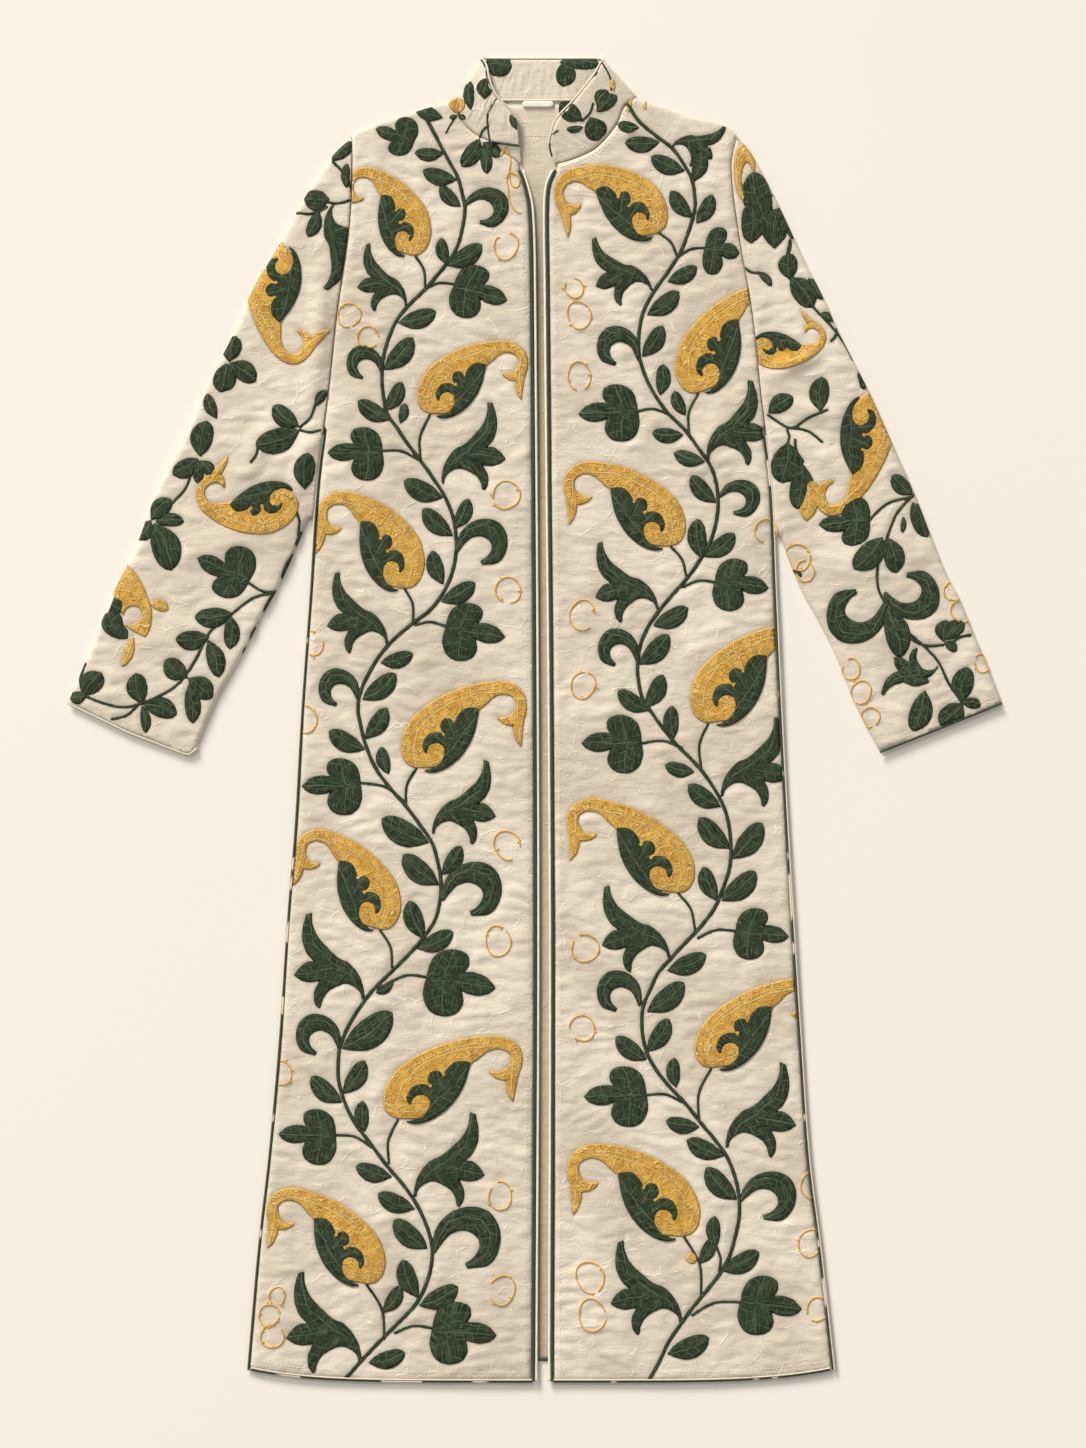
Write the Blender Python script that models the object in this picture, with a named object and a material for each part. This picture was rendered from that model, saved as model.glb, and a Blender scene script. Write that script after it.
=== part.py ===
"""A kaftan laid flat on its back: a long open coat with straight sleeves and a low stand collar.

Metres, +Z up, +Y towards the collar. The origin is on the floor under the centre of the laid coat.
The tables are in millimetres in that frame. Right and left are the wearer's, so right is at -X.
"""

import math

import bpy
from mathutils import Vector
from mathutils.geometry import delaunay_2d_cdt

MM = 0.001

# Cloth and trims
CLOTH = 2.0
SEAM = 0.3
SLEEVE_HOLLOW = 1.0
RELIEF = 1.2
RAMP = 1.2
PIPING_RADIUS = 1.4
THIN_PIPING_RADIUS = 1.0
COLLAR_PIPING_OFFSET = 2.5
BINDING_WIDTH = 2.4
SIDE_STEP = 3.6
SIDE_PIPING_DEPTH = 1.9
HEM_STEP = 3.0
HEM_PIPING_RISE = 0.6
HEM_PIPING_END = 4.0
BACK_HEM_PIPING_DROP = 1.4
BACK_HEM_PIPING_ENDS = (-278, 290)
CUFF_PIPING_DROP = 0.6
VINE_WIDTH = 4.0
STEM_WIDTH = 3.0

# Levels of the laid pieces above the floor
FRONT_LEVEL = CLOTH + SEAM
SLEEVE_LEVEL = CLOTH + SLEEVE_HOLLOW

# The hem and the underarm
HEM_Y = -661.5
HEM_RISE = 13.0
HEM_HALF = 294.0
HEM_CENTRE = 6.0
BACK_HEM_Y = -638.0
BACK_HEM_FALL = 11.0
UNDERARM_Y = 291.0
SIDE_LOW = -647.0
SIDE_HIGH = 585.5
SLEEVE_LEAVES_Y = (201.0, 184.0)

# Where the fronts' edges and their trims end under the collar, and the heights read on the way there
FRONT_EDGE_TOP = 549.0
TRIM_TOP = 551.0
STRAIGHT_TOP = 440.0
NECK_HEIGHTS = (480.0, 512.0, 530.0)
NECK_GAP = 0.2
TRIM_RISE = 1.0

# The back's neck, from the left shoulder to the right one: across, height
BACK_NECK = ((94, 618.6), (46, 618), (6, 617.8), (-34, 618), (-74, 618.6))

# How far a sleeve's hollow reaches past its open ends, and lies inside its sides
HOLLOW_ENDS = 6.0
HOLLOW_SIDES = 3.0
HOLLOW_TOP = 1.6

# Spacing of the points that carry the form
GRID = 46.0
EDGE_STEP = 38.0
FRONT_EDGE_STEP = 90.0
HEM_SPACING = 42.0
HEM_PIPING_SPACING = 45.0
BACK_HEM_SPACING = 60.0
CUFF_STEP = 0.34
FORM_MARGIN = 5.0
WELD = 0.02

# Soft waves of the lying cloth
WAVE_HEIGHT = 1.2
WAVE_X = 31.0
WAVE_Y = 43.0

# Body, from hem to shoulder: height, right edge, left edge
BODY = (
    (-650, -288.5, 300),
    (-525, -277.5, 286),
    (-438, -267.5, 275),
    (-323, -257, 267),
    (-192, -248, 258.5),
    (-107, -241, 253.5),
    (14, -234, 247),
    (124, -226, 242),
    (236, -218.5, 237),
    (325, -207, 226),
    (408, -198, 217),
    (491, -186, 203),
    (555, -183, 196),
    (587, -183, 202),
)

# Front edges, from hem to neck: height, edge of the right front, edge of the left front
FRONT_EDGES = (
    (-664, 2.5, 13),
    (-179, 4.6, 13.8),
    (440, 1.2, 8.6),
    (512, -1, 8),
    (536, -6, 10),
    (556, -13, 18.6),
)

# Neck seams of the fronts, from the front edge to the shoulder: across, height
NECK_RIGHT = ((-13, 556), (-29, 567), (-45, 579), (-57, 585), (-69, 594), (-76, 603), (-78, 616), (-78, 624))
NECK_LEFT = ((18.6, 556), (38, 561.4), (57.5, 570), (68, 579), (76, 588), (83, 598), (89, 613), (100, 623))

# Shoulder seams, from the neck to the sleeve: across, height
SHOULDER_RIGHT = ((-92, 618), (-118, 610), (-156, 599), (-177, 590.5))
SHOULDER_LEFT = ((108, 619), (136, 611), (154, 605), (179, 599), (194, 593))

# Sleeves, from the shoulder to the cuff: outer fold across, its height, underarm seam across, its height
SLEEVE_RIGHT = (
    (-184, 583, 0, 0),
    (-204, 564, 0, 0),
    (-231, 523, 0, 0),
    (-255, 478, 0, 0),
    (-282, 433, 0, 0),
    (-303, 385, 0, 0),
    (-331, 331, 0, 0),
    (-348, 290, 0, 0),
    (-379, 229, -227, 201),
    (-398, 178, -252, 143),
    (-421, 130, -271, 108),
    (-437, 92, -296, 60),
    (-451, 57, -319, 19),
    (-467, 19, -338, -26),
)
SLEEVE_LEFT = (
    (203.5, 583, 0, 0),
    (217, 567, 0, 0),
    (237, 530, 0, 0),
    (252, 499, 0, 0),
    (270, 460, 0, 0),
    (289, 423, 0, 0),
    (304, 389, 0, 0),
    (335, 328, 0, 0),
    (363, 265, 0, 0),
    (380, 227, 246, 184),
    (409, 153, 263, 138),
    (424, 124, 283, 101),
    (438, 90, 300, 67),
    (454, 52, 322, 13),
    (467, 19, 345, -30),
)
CUFF_RIGHT = ((-467, 19), (-407, -10), (-347, -33), (-338, -26))
CUFF_LEFT = ((467, 19), (408, -5), (345, -30))

# Folds: from, to, half width, height
FOLDS_FRONT_RIGHT = (
    (-190, 330, -120, 200, 26, 2.4),
    (-205, 235, -150, 40, 30, 2.0),
    (-120, 560, -95, 400, 26, 1.6),
    (-170, -420, -150, -620, 34, 2.0),
    (-60, -440, -40, -640, 30, 1.6),
)
FOLDS_FRONT_LEFT = (
    (205, 330, 130, 215, 26, 2.4),
    (225, 240, 175, 30, 30, 2.0),
    (110, 540, 95, 400, 26, 1.6),
    (190, -400, 170, -620, 34, 2.0),
    (70, -460, 60, -640, 30, 1.6),
)
FOLDS_SLEEVE_RIGHT = (
    (-212, 470, -222, 300, 17, 4.5),
    (-222, 300, -240, 215, 17, 5.0),
    (-235, 330, -300, 240, 22, 3.0),
    (-260, 200, -380, 150, 24, 2.4),
    (-290, 110, -400, 70, 24, 2.0),
)
FOLDS_SLEEVE_LEFT = (
    (226, 340, 292, 373, 15, 5.5),
    (232, 320, 320, 300, 18, 3.6),
    (240, 300, 330, 235, 20, 3.2),
    (262, 150, 390, 170, 24, 2.4),
    (300, 90, 420, 80, 24, 2.0),
)

# The collar's wall, round the neck from the right front end: seam x, y, z, then free edge x, y, z
COLLAR = (
    (-13.6, 557, 3.6, -17, 599, 6.4),
    (-30, 568.5, 3.6, -25, 609, 7.4),
    (-45, 580, 3.6, -36, 620, 8.2),
    (-59, 587, 3.6, -42, 628, 8.2),
    (-71.5, 600, 3.6, -47.5, 643, 7.2),
    (-75, 611, 3.6, -49, 652, 5.6),
    (-75.4, 619.4, 2.9, -51.5, 658.5, 3.6),
    (-76.2, 621.6, 2.25, -53.2, 661, 2.25),
    (-74, 620.8, 1.3, -50.5, 661.6, 1.3),
    (-68, 619.8, 1, -44, 661.8, 1),
    (-34, 619.4, 1, -22, 661.6, 1),
    (6, 619.2, 1, 8, 661.5, 1),
    (46, 619.4, 1, 36, 661.6, 1),
    (80, 620.4, 1, 59, 661.6, 1),
    (97, 622.6, 1.3, 66.5, 660.6, 1.3),
    (101.5, 624.5, 2.25, 68.6, 659.8, 2.25),
    (98.5, 622.6, 2.9, 66.4, 657, 3.6),
    (88.4, 614.6, 3.6, 61, 647, 5.6),
    (82.4, 599.4, 3.6, 51, 634, 7.2),
    (70, 583, 3.6, 38, 618, 8.2),
    (57, 571.6, 3.6, 23, 602, 8.2),
    (38, 562.8, 3.6, 17.5, 588, 7.4),
    (19, 557.4, 3.6, 15, 577, 6.4),
)

# The turned-back end of the collar, from its fold: lower x, y, z, then upper x, y, z
COLLAR_TAB = (
    (-16, 575, 7.6, -18, 601, 10.4),
    (-24, 576, 7.8, -24, 608, 10.8),
    (-35, 577.5, 7.9, -37, 620, 11),
    (-44, 579, 7.6, -46.5, 611, 10.4),
)

# The hanger loop at the back of the neck: centre x, y, length, width
HANGER = (3.0, 617.0, 32.0, 6.6)

# Leaf shapes as spines from their stem: along, across, half width, with the tip at 1
CRESCENT = (
    (0, 0, 0.04),
    (0.2, 0.21, 0.1),
    (0.5, 0.27, 0.16),
    (0.8, 0.06, 0.18),
    (0.8, -0.25, 0.16),
    (0.56, -0.46, 0.12),
    (0.28, -0.46, 0.0),
)
PALMETTE = (
    (0, 0, 0.012),
    (0.14, -0.04, 0.05),
    (0.32, 0, 0.095),
    (0.52, 0.05, 0.1),
    (0.74, 0.03, 0.065),
    (0.9, 0.01, 0.03),
    (1, 0, 0),
)
PALMETTE_LOBES = (
    ((0.36, 0.02, 0.06), (0.38, 0.14, 0.085), (0.3, 0.26, 0.06), (0.2, 0.34, 0)),
    ((0.5, 0.06, 0.06), (0.53, 0.2, 0.09), (0.5, 0.3, 0.06), (0.46, 0.36, 0)),
)
# The trefoil round its middle: angle in degrees, reach as a part of its length
TREFOIL_MIDDLE = 0.34
TREFOIL = (
    (0, 0.66),
    (12, 0.5),
    (27, 0.3),
    (46, 0.41),
    (72, 0.43),
    (102, 0.38),
    (140, 0.33),
    (178, 0.33),
    (218, 0.38),
    (250, 0.48),
    (278, 0.49),
    (301, 0.42),
    (319, 0.28),
    (345, 0.52),
)

# The paisley in its own millimetres, 100 from its stem to the turn of its hook
PAISLEY_BASE = (41, -34)
PAISLEY_TURN = (-50, 8)
PAISLEY = (
    (38, -33, 2),
    (32, -21, 17),
    (22, -5, 23.5),
    (8, 10, 21),
    (-10, 22, 13.5),
    (-26, 25, 9),
    (-40, 18, 7.5),
    (-50, 7, 6.5),
    (-52, -5, 6),
    (-49, -16, 6),
    (-48, -26, 4),
    (-51, -40, 0),
)
PAISLEY_HOOK = ((-48, -13, 4), (-38, -12, 5), (-31, -10, 4), (-26, -4, 0))

# What grows at each crest of the vine: shape, from x, y, to x, y, turn; x is outwards from the vine
HALF_REPEAT = (
    ("leaf", -8, 35, -44, 48, 1),
    ("leaf", -2, 1, -30, 26, 1),
    ("crescent", 2, -8, 44, -6, 1),
    ("leaf", -12, -50, -21, -20, 1),
    ("leaf", -10, -58, 23, -41, 1),
    ("stem", -45, -52, -38, -90, 1),
    ("paisley", -45, -50, -136, -3, 1),
    ("stem", -40, -88, -10, -82, 1),
    ("trefoil", -12, -84, 50, -92, 1),
    ("palmette", -60, -108, -103, -36, 1),
)

# Crests of the vines, from the shoulder down: x, y, side, scale
CRESTS_RIGHT = (
    (-70, 511, 1, 0.9),
    (-149, 356, -1, 0.98),
    (-80, 186, 1, 1.02),
    (-173, 21, -1, 1.04),
    (-95, -164, 1, 1.08),
    (-194, -324, -1, 1.06),
    (-101, -529, 1, 1.1),
)
VINE_TOP_RIGHT = ((-112, 607), (-92, 570))
VINE_END_RIGHT = ((-150, -612), (-185, -656))
CRESTS_LEFT = (
    (167, 526, 1, 0.98),
    (110, 376, -1, 0.98),
    (183, 206, 1, 1.02),
    (110, 56, -1, 1.02),
    (202, -149, 1, 1.06),
    (115, -294, -1, 1.06),
    (210, -494, 1, 1.1),
)
VINE_TOP_LEFT = ((82, 638), (90, 622), (117, 588), (142, 567))
VINE_END_LEFT = ((150, -612), (120, -654))

# Single shapes: shape, from x, y, to x, y, turn
EXTRAS_RIGHT = (
    ("trefoil", -120, 582, -160, 594, 1),
    ("leaf", -92, 603, -120, 615, 1),
    ("leaf", -89, 563, -121, 571, 1),
    ("leaf", -79, 541, -107, 559, 1),
    ("trefoil", -74, 551, -32, 571, 1),
    ("leaf", -140, -607, -110, -634, 1),
    ("leaf", -117, -585, -128, -556, 1),
)
EXTRAS_LEFT = (
    ("palmette", 136, 573, 191, 597, -1),
    ("leaf", 125, 573, 90, 584, 1),
    ("leaf", 147, 558, 117, 561, 1),
    ("leaf", 155, 536, 173, 569, 1),
    ("leaf", 160, 505, 133, 523, 1),
    ("leaf", 166, -540, 172, -505, 1),
    ("leaf", 150, -608, 182, -622, 1),
)
SLEEVE_VINE_RIGHT = (
    ((-261, 129), (-303, 105), (-328, 76), (-347, 48), (-379, 22), (-411, 14), (-446, 24)),
    ((-190, 575), (-212, 522), (-238, 470)),
    ((-322, 330), (-330, 285), (-348, 240), (-383, 201), (-390, 160)),
)
EXTRAS_SLEEVE_RIGHT = (
    ("leaf", -185, 575, -206, 555, 1),
    ("leaf", -188, 553, -194, 525, 1),
    ("leaf", -205, 531, -233, 517, 1),
    ("leaf", -214, 514, -233, 485, 1),
    ("palmette", -202, 516, -208, 432, -1),
    ("paisley", -255, 475, -232, 373, 1),
    ("trefoil", -290, 336, -307, 386, 1),
    ("leaf", -326, 301, -317, 333, 1),
    ("leaf", -327, 267, -340, 297, 1),
    ("leaf", -345, 243, -361, 265, 1),
    ("leaf", -345, 241, -333, 266, 1),
    ("palmette", -212, 296, -284, 262, 1),
    ("paisley", -237, 229, -330, 232, -1),
    ("trefoil", -285, 141, -332, 156, 1),
    ("leaf", -377, 202, -368, 229, 1),
    ("leaf", -377, 186, -399, 184, 1),
    ("leaf", -375, 183, -366, 157, 1),
    ("leaf", -301, 110, -340, 103, 1),
    ("leaf", -302, 107, -306, 72, 1),
    ("leaf", -328, 78, -360, 90, 1),
    ("leaf", -328, 76, -317, 42, 1),
    ("leaf", -349, 40, -372, 60, 1),
    ("palmette", -349, 44, -342, 0, 1),
    ("leaf", -391, 19, -400, 50, 1),
    ("leaf", -392, 17, -358, 5, 1),
    ("leaf", -397, 14, -390, -9, 1),
    ("leaf", -435, 21, -448, 50, 1),
    ("paisley", -408, 84, -385, 160, -1),
)
SLEEVE_VINE_LEFT = (
    ((378, 225), (358, 204), (346, 173), (343, 144), (349, 118), (363, 93), (392, 70), (409, 47), (424, 21)),
    ((213, 571), (227, 531), (250, 481), (271, 431), (300, 376)),
    ((234, 305), (257, 293), (292, 311)),
)
EXTRAS_SLEEVE_LEFT = (
    ("leaf", 217, 541, 235, 508, 1),
    ("leaf", 210, 513, 217, 480, 1),
    ("leaf", 233, 505, 252, 474, 1),
    ("leaf", 251, 473, 266, 444, 1),
    ("leaf", 271, 443, 295, 422, 1),
    ("leaf", 283, 419, 298, 390, 1),
    ("leaf", 209, 452, 238, 435, 1),
    ("paisley", 226, 400, 297, 382, 1),
    ("leaf", 255, 303, 233, 327, 1),
    ("leaf", 271, 311, 297, 340, 1),
    ("palmette", 262, 293, 258, 212, 1),
    ("paisley", 322, 326, 277, 240, -1),
    ("trefoil", 345, 213, 284, 194, 1),
    ("leaf", 376, 226, 356, 246, 1),
    ("leaf", 376, 223, 392, 188, 1),
    ("leaf", 347, 183, 318, 153, 1),
    ("leaf", 348, 184, 361, 149, 1),
    ("crescent", 352, 114, 401, 127, -1),
    ("crescent", 349, 112, 293, 104, 1),
    ("leaf", 355, 104, 366, 64, 1),
    ("leaf", 405, 77, 425, 98, 1),
    ("palmette", 403, 55, 347, 26, -1),
    ("leaf", 424, 21, 431, 55, 1),
)

LEAF_WIDTH = 0.44
LEAF_PROFILE = 0.62
LEAF_ROWS = (0.3, 0.7)
TREFOIL_CROWN = 1.4
NARROWEST = 0.3
RIBBON_STEP = 26.0
NARROW = 4.2
PAISLEY_STEPS = 11
LOBE_STEPS = 3
CRESCENT_STEPS = 6
PALMETTE_STEPS = 5


def slope(rows, i, column):
    """How fast a column changes at a row of a table, by the table's first column."""
    low = max(i - 1, 0)
    high = min(i + 1, len(rows) - 1)
    return (rows[high][column] - rows[low][column]) / (rows[high][0] - rows[low][0])


def read(rows, at, column):
    """A column's value at any value of the first column, on a smooth curve through the rows."""
    i = 0
    while i < len(rows) - 2 and at > rows[i + 1][0]:
        i += 1
    span = rows[i + 1][0] - rows[i][0]
    t = min(max((at - rows[i][0]) / span, 0.0), 1.0)
    a, b = rows[i][column], rows[i + 1][column]
    da = slope(rows, i, column) * span
    db = slope(rows, i + 1, column) * span
    return (
        a * (2 * t**3 - 3 * t**2 + 1)
        + da * (t**3 - 2 * t**2 + t)
        + b * (3 * t**2 - 2 * t**3)
        + db * (t**3 - t**2)
    )


def smooth(rows, count):
    """Points, evenly spread by row number, on a Catmull-Rom curve through the rows of a table."""
    found = []
    for k in range(count):
        at = k * (len(rows) - 1) / (count - 1)
        i = min(int(at), len(rows) - 2)
        t = at - i
        before, after = max(i - 1, 0), min(i + 2, len(rows) - 1)
        point = []
        for p, a, b, q in zip(rows[before], rows[i], rows[i + 1], rows[after]):
            da, db = (b - p) / 2, (q - a) / 2
            point.append(
                a + t * da + t**2 * (3 * (b - a) - 2 * da - db) + t**3 * (2 * (a - b) + da + db)
            )
        found.append(tuple(point))
    return found


def length_of(points):
    return sum(math.dist(a[:2], b[:2]) for a, b in zip(points, points[1:]))


def ribbon(rows, count):
    """The outline round a spine, and the crown inside it. Columns: x, y, half width."""
    spine = smooth(rows, count)
    left, right, crown_left, crown_right = [], [], [], []
    for i, (x, y, half) in enumerate(spine):
        a, b = spine[max(i - 1, 0)], spine[min(i + 1, count - 1)]
        along = math.dist(a[:2], b[:2])
        nx, ny = (a[1] - b[1]) / along, (b[0] - a[0]) / along
        half = max(half, NARROWEST)
        left.append((x + nx * half, y + ny * half))
        if half > NARROWEST or 0 < i < count - 1:
            right.append((x - nx * half, y - ny * half))
        if 0 < i < count - 1:
            inner = half - RAMP if half > NARROW else 0.0
            crown_left.append((x + nx * inner, y + ny * inner))
            if inner:
                crown_right.append((x - nx * inner, y - ny * inner))
    return left + right[::-1], crown_left + crown_right[::-1]


def stem(points, width):
    count = max(3, round(length_of(points) / RIBBON_STEP))
    return ribbon([(x, y, width / 2) for x, y in points], count)


def leaf(start, end):
    """An oval leaf with a point at each end, and a crown along its middle."""
    along = Vector(end) - Vector(start)
    across = Vector((-along.y, along.x)) * LEAF_WIDTH / 2
    rows = [(t, (4 * t * (1 - t)) ** LEAF_PROFILE) for t in LEAF_ROWS]
    left = [Vector(start) + along * t + across * w for t, w in rows]
    right = [Vector(start) + along * t - across * w for t, w in rows[::-1]]
    crown = [Vector(start) + along * t for t, _ in rows]
    return [tuple(p) for p in [Vector(start)] + left + [Vector(end)] + right], [tuple(p) for p in crown]


def trefoil(start, end, turn):
    """Three round lobes, the outer one pointed."""
    along = Vector(end) - Vector(start)
    across = Vector((-along.y, along.x)) * turn
    outline, crown = [], []
    for angle, reach in TREFOIL:
        ray = along * math.cos(math.radians(angle)) + across * math.sin(math.radians(angle))
        middle = Vector(start) + along * TREFOIL_MIDDLE
        outline.append(tuple(middle + ray * reach))
        crown.append(tuple(middle + ray * (reach - TREFOIL_CROWN * RAMP / along.length)))
    return outline, crown


def on_axis(rows, start, end, turn):
    """A table of x, y and half width, from 0 to 1 along its axis, put between two points."""
    along = Vector(end) - Vector(start)
    across = Vector((-along.y, along.x)) * turn
    size = along.length
    placed = []
    for x, y, half in rows:
        point = Vector(start) + along * x + across * y
        placed.append((point.x, point.y, half * size))
    return placed


def paisley_rows(rows):
    """The paisley's own millimetres as parts of its axis, from its stem to the turn of its hook."""
    base, tip = Vector(PAISLEY_BASE), Vector(PAISLEY_TURN)
    along = tip - base
    size = along.length_squared
    across = Vector((-along.y, along.x))
    found = []
    for x, y, half in rows:
        offset = Vector((x, y)) - base
        found.append((offset.dot(along) / size, offset.dot(across) / size, half / along.length))
    return found


def outlines_of(shape, start, end, turn):
    """The outlines and crowns that make one embroidered shape. They may overlap."""
    if shape == "leaf":
        return [leaf(start, end)]
    if shape == "trefoil":
        return [trefoil(start, end, turn)]
    if shape == "stem":
        return [stem([start, end], STEM_WIDTH)]
    if shape == "crescent":
        return [ribbon(on_axis(CRESCENT, start, end, turn), CRESCENT_STEPS)]
    if shape == "palmette":
        body = [ribbon(on_axis(PALMETTE, start, end, turn), PALMETTE_STEPS)]
        lobes = [ribbon(on_axis(rows, start, end, turn), LOBE_STEPS) for rows in PALMETTE_LOBES]
        return body + lobes
    band = ribbon(on_axis(paisley_rows(PAISLEY), start, end, turn), PAISLEY_STEPS)
    hook = ribbon(on_axis(paisley_rows(PAISLEY_HOOK), start, end, turn), LOBE_STEPS)
    return [band, hook]


def vine_shapes(top, crests, end):
    """The running vine and what grows on it: each crest repeats the one above, turned over."""
    line = list(top) + [(x, y) for x, y, side, scale in crests] + list(end)
    shapes = [stem(line, VINE_WIDTH)]
    for x, y, side, scale in crests:
        for shape, x0, y0, x1, y1, turn in HALF_REPEAT:
            start = (x + side * scale * x0, y + scale * y0)
            stop = (x + side * scale * x1, y + scale * y1)
            shapes += outlines_of(shape, start, stop, turn * side)
    return shapes


def single_shapes(rows, vines=()):
    shapes = [stem(line, VINE_WIDTH) for line in vines]
    for shape, x0, y0, x1, y1, turn in rows:
        shapes += outlines_of(shape, (x0, y0), (x1, y1), turn)
    return shapes


def inside(loop, x, y):
    found = False
    for (ax, ay), (bx, by) in zip(loop, loop[1:] + loop[:1]):
        if (ay > y) != (by > y) and x < ax + (y - ay) * (bx - ax) / (by - ay):
            found = not found
    return found


def to_edge(loop, x, y):
    """The distance from a point to the nearest side of a loop."""
    nearest = math.inf
    for (ax, ay), (bx, by) in zip(loop, loop[1:] + loop[:1]):
        dx, dy = bx - ax, by - ay
        size = dx * dx + dy * dy
        t = min(max(((x - ax) * dx + (y - ay) * dy) / size, 0.0), 1.0) if size else 0.0
        nearest = min(nearest, math.hypot(ax + t * dx - x, ay + t * dy - y))
    return nearest


def relief(shapes, x, y):
    """How far the embroidery stands up from the cloth at a point."""
    most = 0.0
    for loop, low_x, high_x, low_y, high_y in shapes:
        if low_x < x < high_x and low_y < y < high_y and inside(loop, x, y):
            most = max(most, RELIEF * min(1.0, to_edge(loop, x, y) / RAMP))
    return most


def boxed(shapes):
    found = []
    for loop, _ in shapes:
        xs, ys = [p[0] for p in loop], [p[1] for p in loop]
        found.append((loop, min(xs), max(xs), min(ys), max(ys)))
    return found


def form(folds, x, y):
    """The height of the lying cloth above its flat level, from its soft waves and its folds."""
    high = WAVE_HEIGHT * (0.5 + 0.5 * math.sin(x / WAVE_X) * math.sin(y / WAVE_Y))
    for x0, y0, x1, y1, half, height in folds:
        dx, dy = x1 - x0, y1 - y0
        size = math.hypot(dx, dy)
        along = ((x - x0) * dx + (y - y0) * dy) / size**2
        across = abs((x - x0) * dy - (y - y0) * dx) / size / half
        if 0 < along < 1 and across < 1:
            ends = math.sin(math.pi * along)
            high += height * ends * (0.5 + 0.5 * math.cos(math.pi * across))
    return high


def form_points(outline, folds):
    """Points inside an outline where the form is read: an even grid, and rows along each fold."""
    xs, ys = [p[0] for p in outline], [p[1] for p in outline]
    wanted = []
    for i in range(int((max(xs) - min(xs)) / GRID) + 1):
        for j in range(int((max(ys) - min(ys)) / GRID) + 1):
            shift = GRID / 2 * (j % 2)
            wanted.append((min(xs) + GRID * i + shift, min(ys) + GRID * (j + 0.5)))
    for x0, y0, x1, y1, half, height in folds:
        size = math.hypot(x1 - x0, y1 - y0)
        nx, ny = (y0 - y1) / size, (x1 - x0) / size
        steps = max(2, round(size / EDGE_STEP))
        for k in range(steps + 1):
            for side in (-1, -0.5, 0, 0.5, 1):
                x = x0 + (x1 - x0) * k / steps + nx * half * side
                wanted.append((x, y0 + (y1 - y0) * k / steps + ny * half * side))
    return [p for p in wanted if inside(outline, *p) and to_edge(outline, *p) > FORM_MARGIN]


def filled(outline, points, shapes):
    """Triangles that fill an outline, with an edge along every shape's outline and crown."""
    flat = list(outline) + list(points)
    edges = []
    for loop, crown in shapes:
        first = len(flat)
        flat += loop
        edges += [(first + i, first + (i + 1) % len(loop)) for i in range(len(loop))]
        first = len(flat)
        flat += crown
        edges += [(first + i, first + i + 1) for i in range(len(crown) - 1)]
    face = list(range(len(outline)))
    vertices, _, faces, sources, _, _ = delaunay_2d_cdt(
        [Vector(p) for p in flat], edges, [face], 1, WELD
    )
    kept = []
    for i, j, k in faces:
        middle = (vertices[i] + vertices[j] + vertices[k]) / 3
        if inside(outline, *middle):
            kept.append((i, j, k))
    used = sorted({i for face in kept for i in face})
    number = {old: new for new, old in enumerate(used)}
    return (
        [tuple(vertices[i]) for i in used],
        [tuple(number[i] for i in face) for face in kept],
        [sources[i] for i in used],
    )


def rim_of(vertices, faces):
    """The outer loop of a filled outline, in its faces' direction."""
    ends = {(a, b) for face in faces for a, b in zip(face, face[1:] + face[:1])}
    following = {a: b for a, b in ends if (b, a) not in ends}
    first = min(following)
    loop = [first]
    while following[loop[-1]] != first:
        loop.append(following[loop[-1]])
    return loop


def material(name, colour, roughness):
    made = bpy.data.materials.new(name)
    made.use_nodes = True
    shader = made.node_tree.nodes["Principled BSDF"]
    shader.inputs["Base Color"].default_value = (*colour, 1)
    shader.inputs["Roughness"].default_value = roughness
    shader.inputs["Metallic"].default_value = 0
    made.diffuse_color = (*colour, 1)
    return made


def solid(name, vertices, faces, finish):
    mesh = bpy.data.meshes.new(name)
    mesh.from_pydata([Vector(v) * MM for v in vertices], [], faces)
    mesh.materials.append(finish)
    made = bpy.data.objects.new(name, mesh)
    bpy.context.scene.collection.objects.link(made)
    return made


def cloth(name, outline, folds, shapes, levels, finish):
    """A cloth wall over an outline: a plain underside, and the embroidery raised on its outer face.

    levels gives the underside's height and how it follows the folds, then the same for the outer face.
    """
    under, under_follows, over, over_follows = levels
    points = form_points(outline, folds) if over_follows else []
    vertices, faces, _ = filled(outline, points, shapes)
    rim = rim_of(vertices, faces)
    raised = boxed(shapes)
    top = [
        (x, y, over + over_follows * form(folds, x, y) + relief(raised, x, y)) for x, y in vertices
    ]
    edge = [vertices[i] for i in rim]
    below, below_faces, sources = filled(edge, points, [])
    base = len(top)
    bottom = [(x, y, under + under_follows * form(folds, x, y)) for x, y in below]
    place = {old: base + new for new, olds in enumerate(sources) for old in olds}
    walls = []
    for i, here in enumerate(rim):
        j = (i + 1) % len(rim)
        walls.append((rim[j], here, place[i], place[j]))
    turned = [tuple(base + i for i in face[::-1]) for face in below_faces]
    return solid(name, top + bottom, list(faces) + turned + walls, finish)


def wall(name, rows, thickness, finish):
    """A cloth wall between two edges. Columns: first edge x, y, z, then second edge x, y, z."""
    vertices, faces = [], []
    last = len(rows) - 1
    for i, row in enumerate(rows):
        low, high = Vector(row[:3]), Vector(row[3:])
        before, after = rows[max(i - 1, 0)], rows[min(i + 1, last)]
        along = Vector(after[:3]) + Vector(after[3:]) - Vector(before[:3]) - Vector(before[3:])
        out = (high - low).cross(along).normalized() * thickness / 2
        vertices += [low + out, high + out, high - out, low - out]
    for i in range(last):
        for k in range(4):
            j = (k + 1) % 4
            faces.append((4 * i + k, 4 * i + j, 4 * i + 4 + j, 4 * i + 4 + k))
    faces += [(3, 2, 1, 0), tuple(4 * last + k for k in range(4))]
    return solid(name, vertices, faces, finish)


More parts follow.
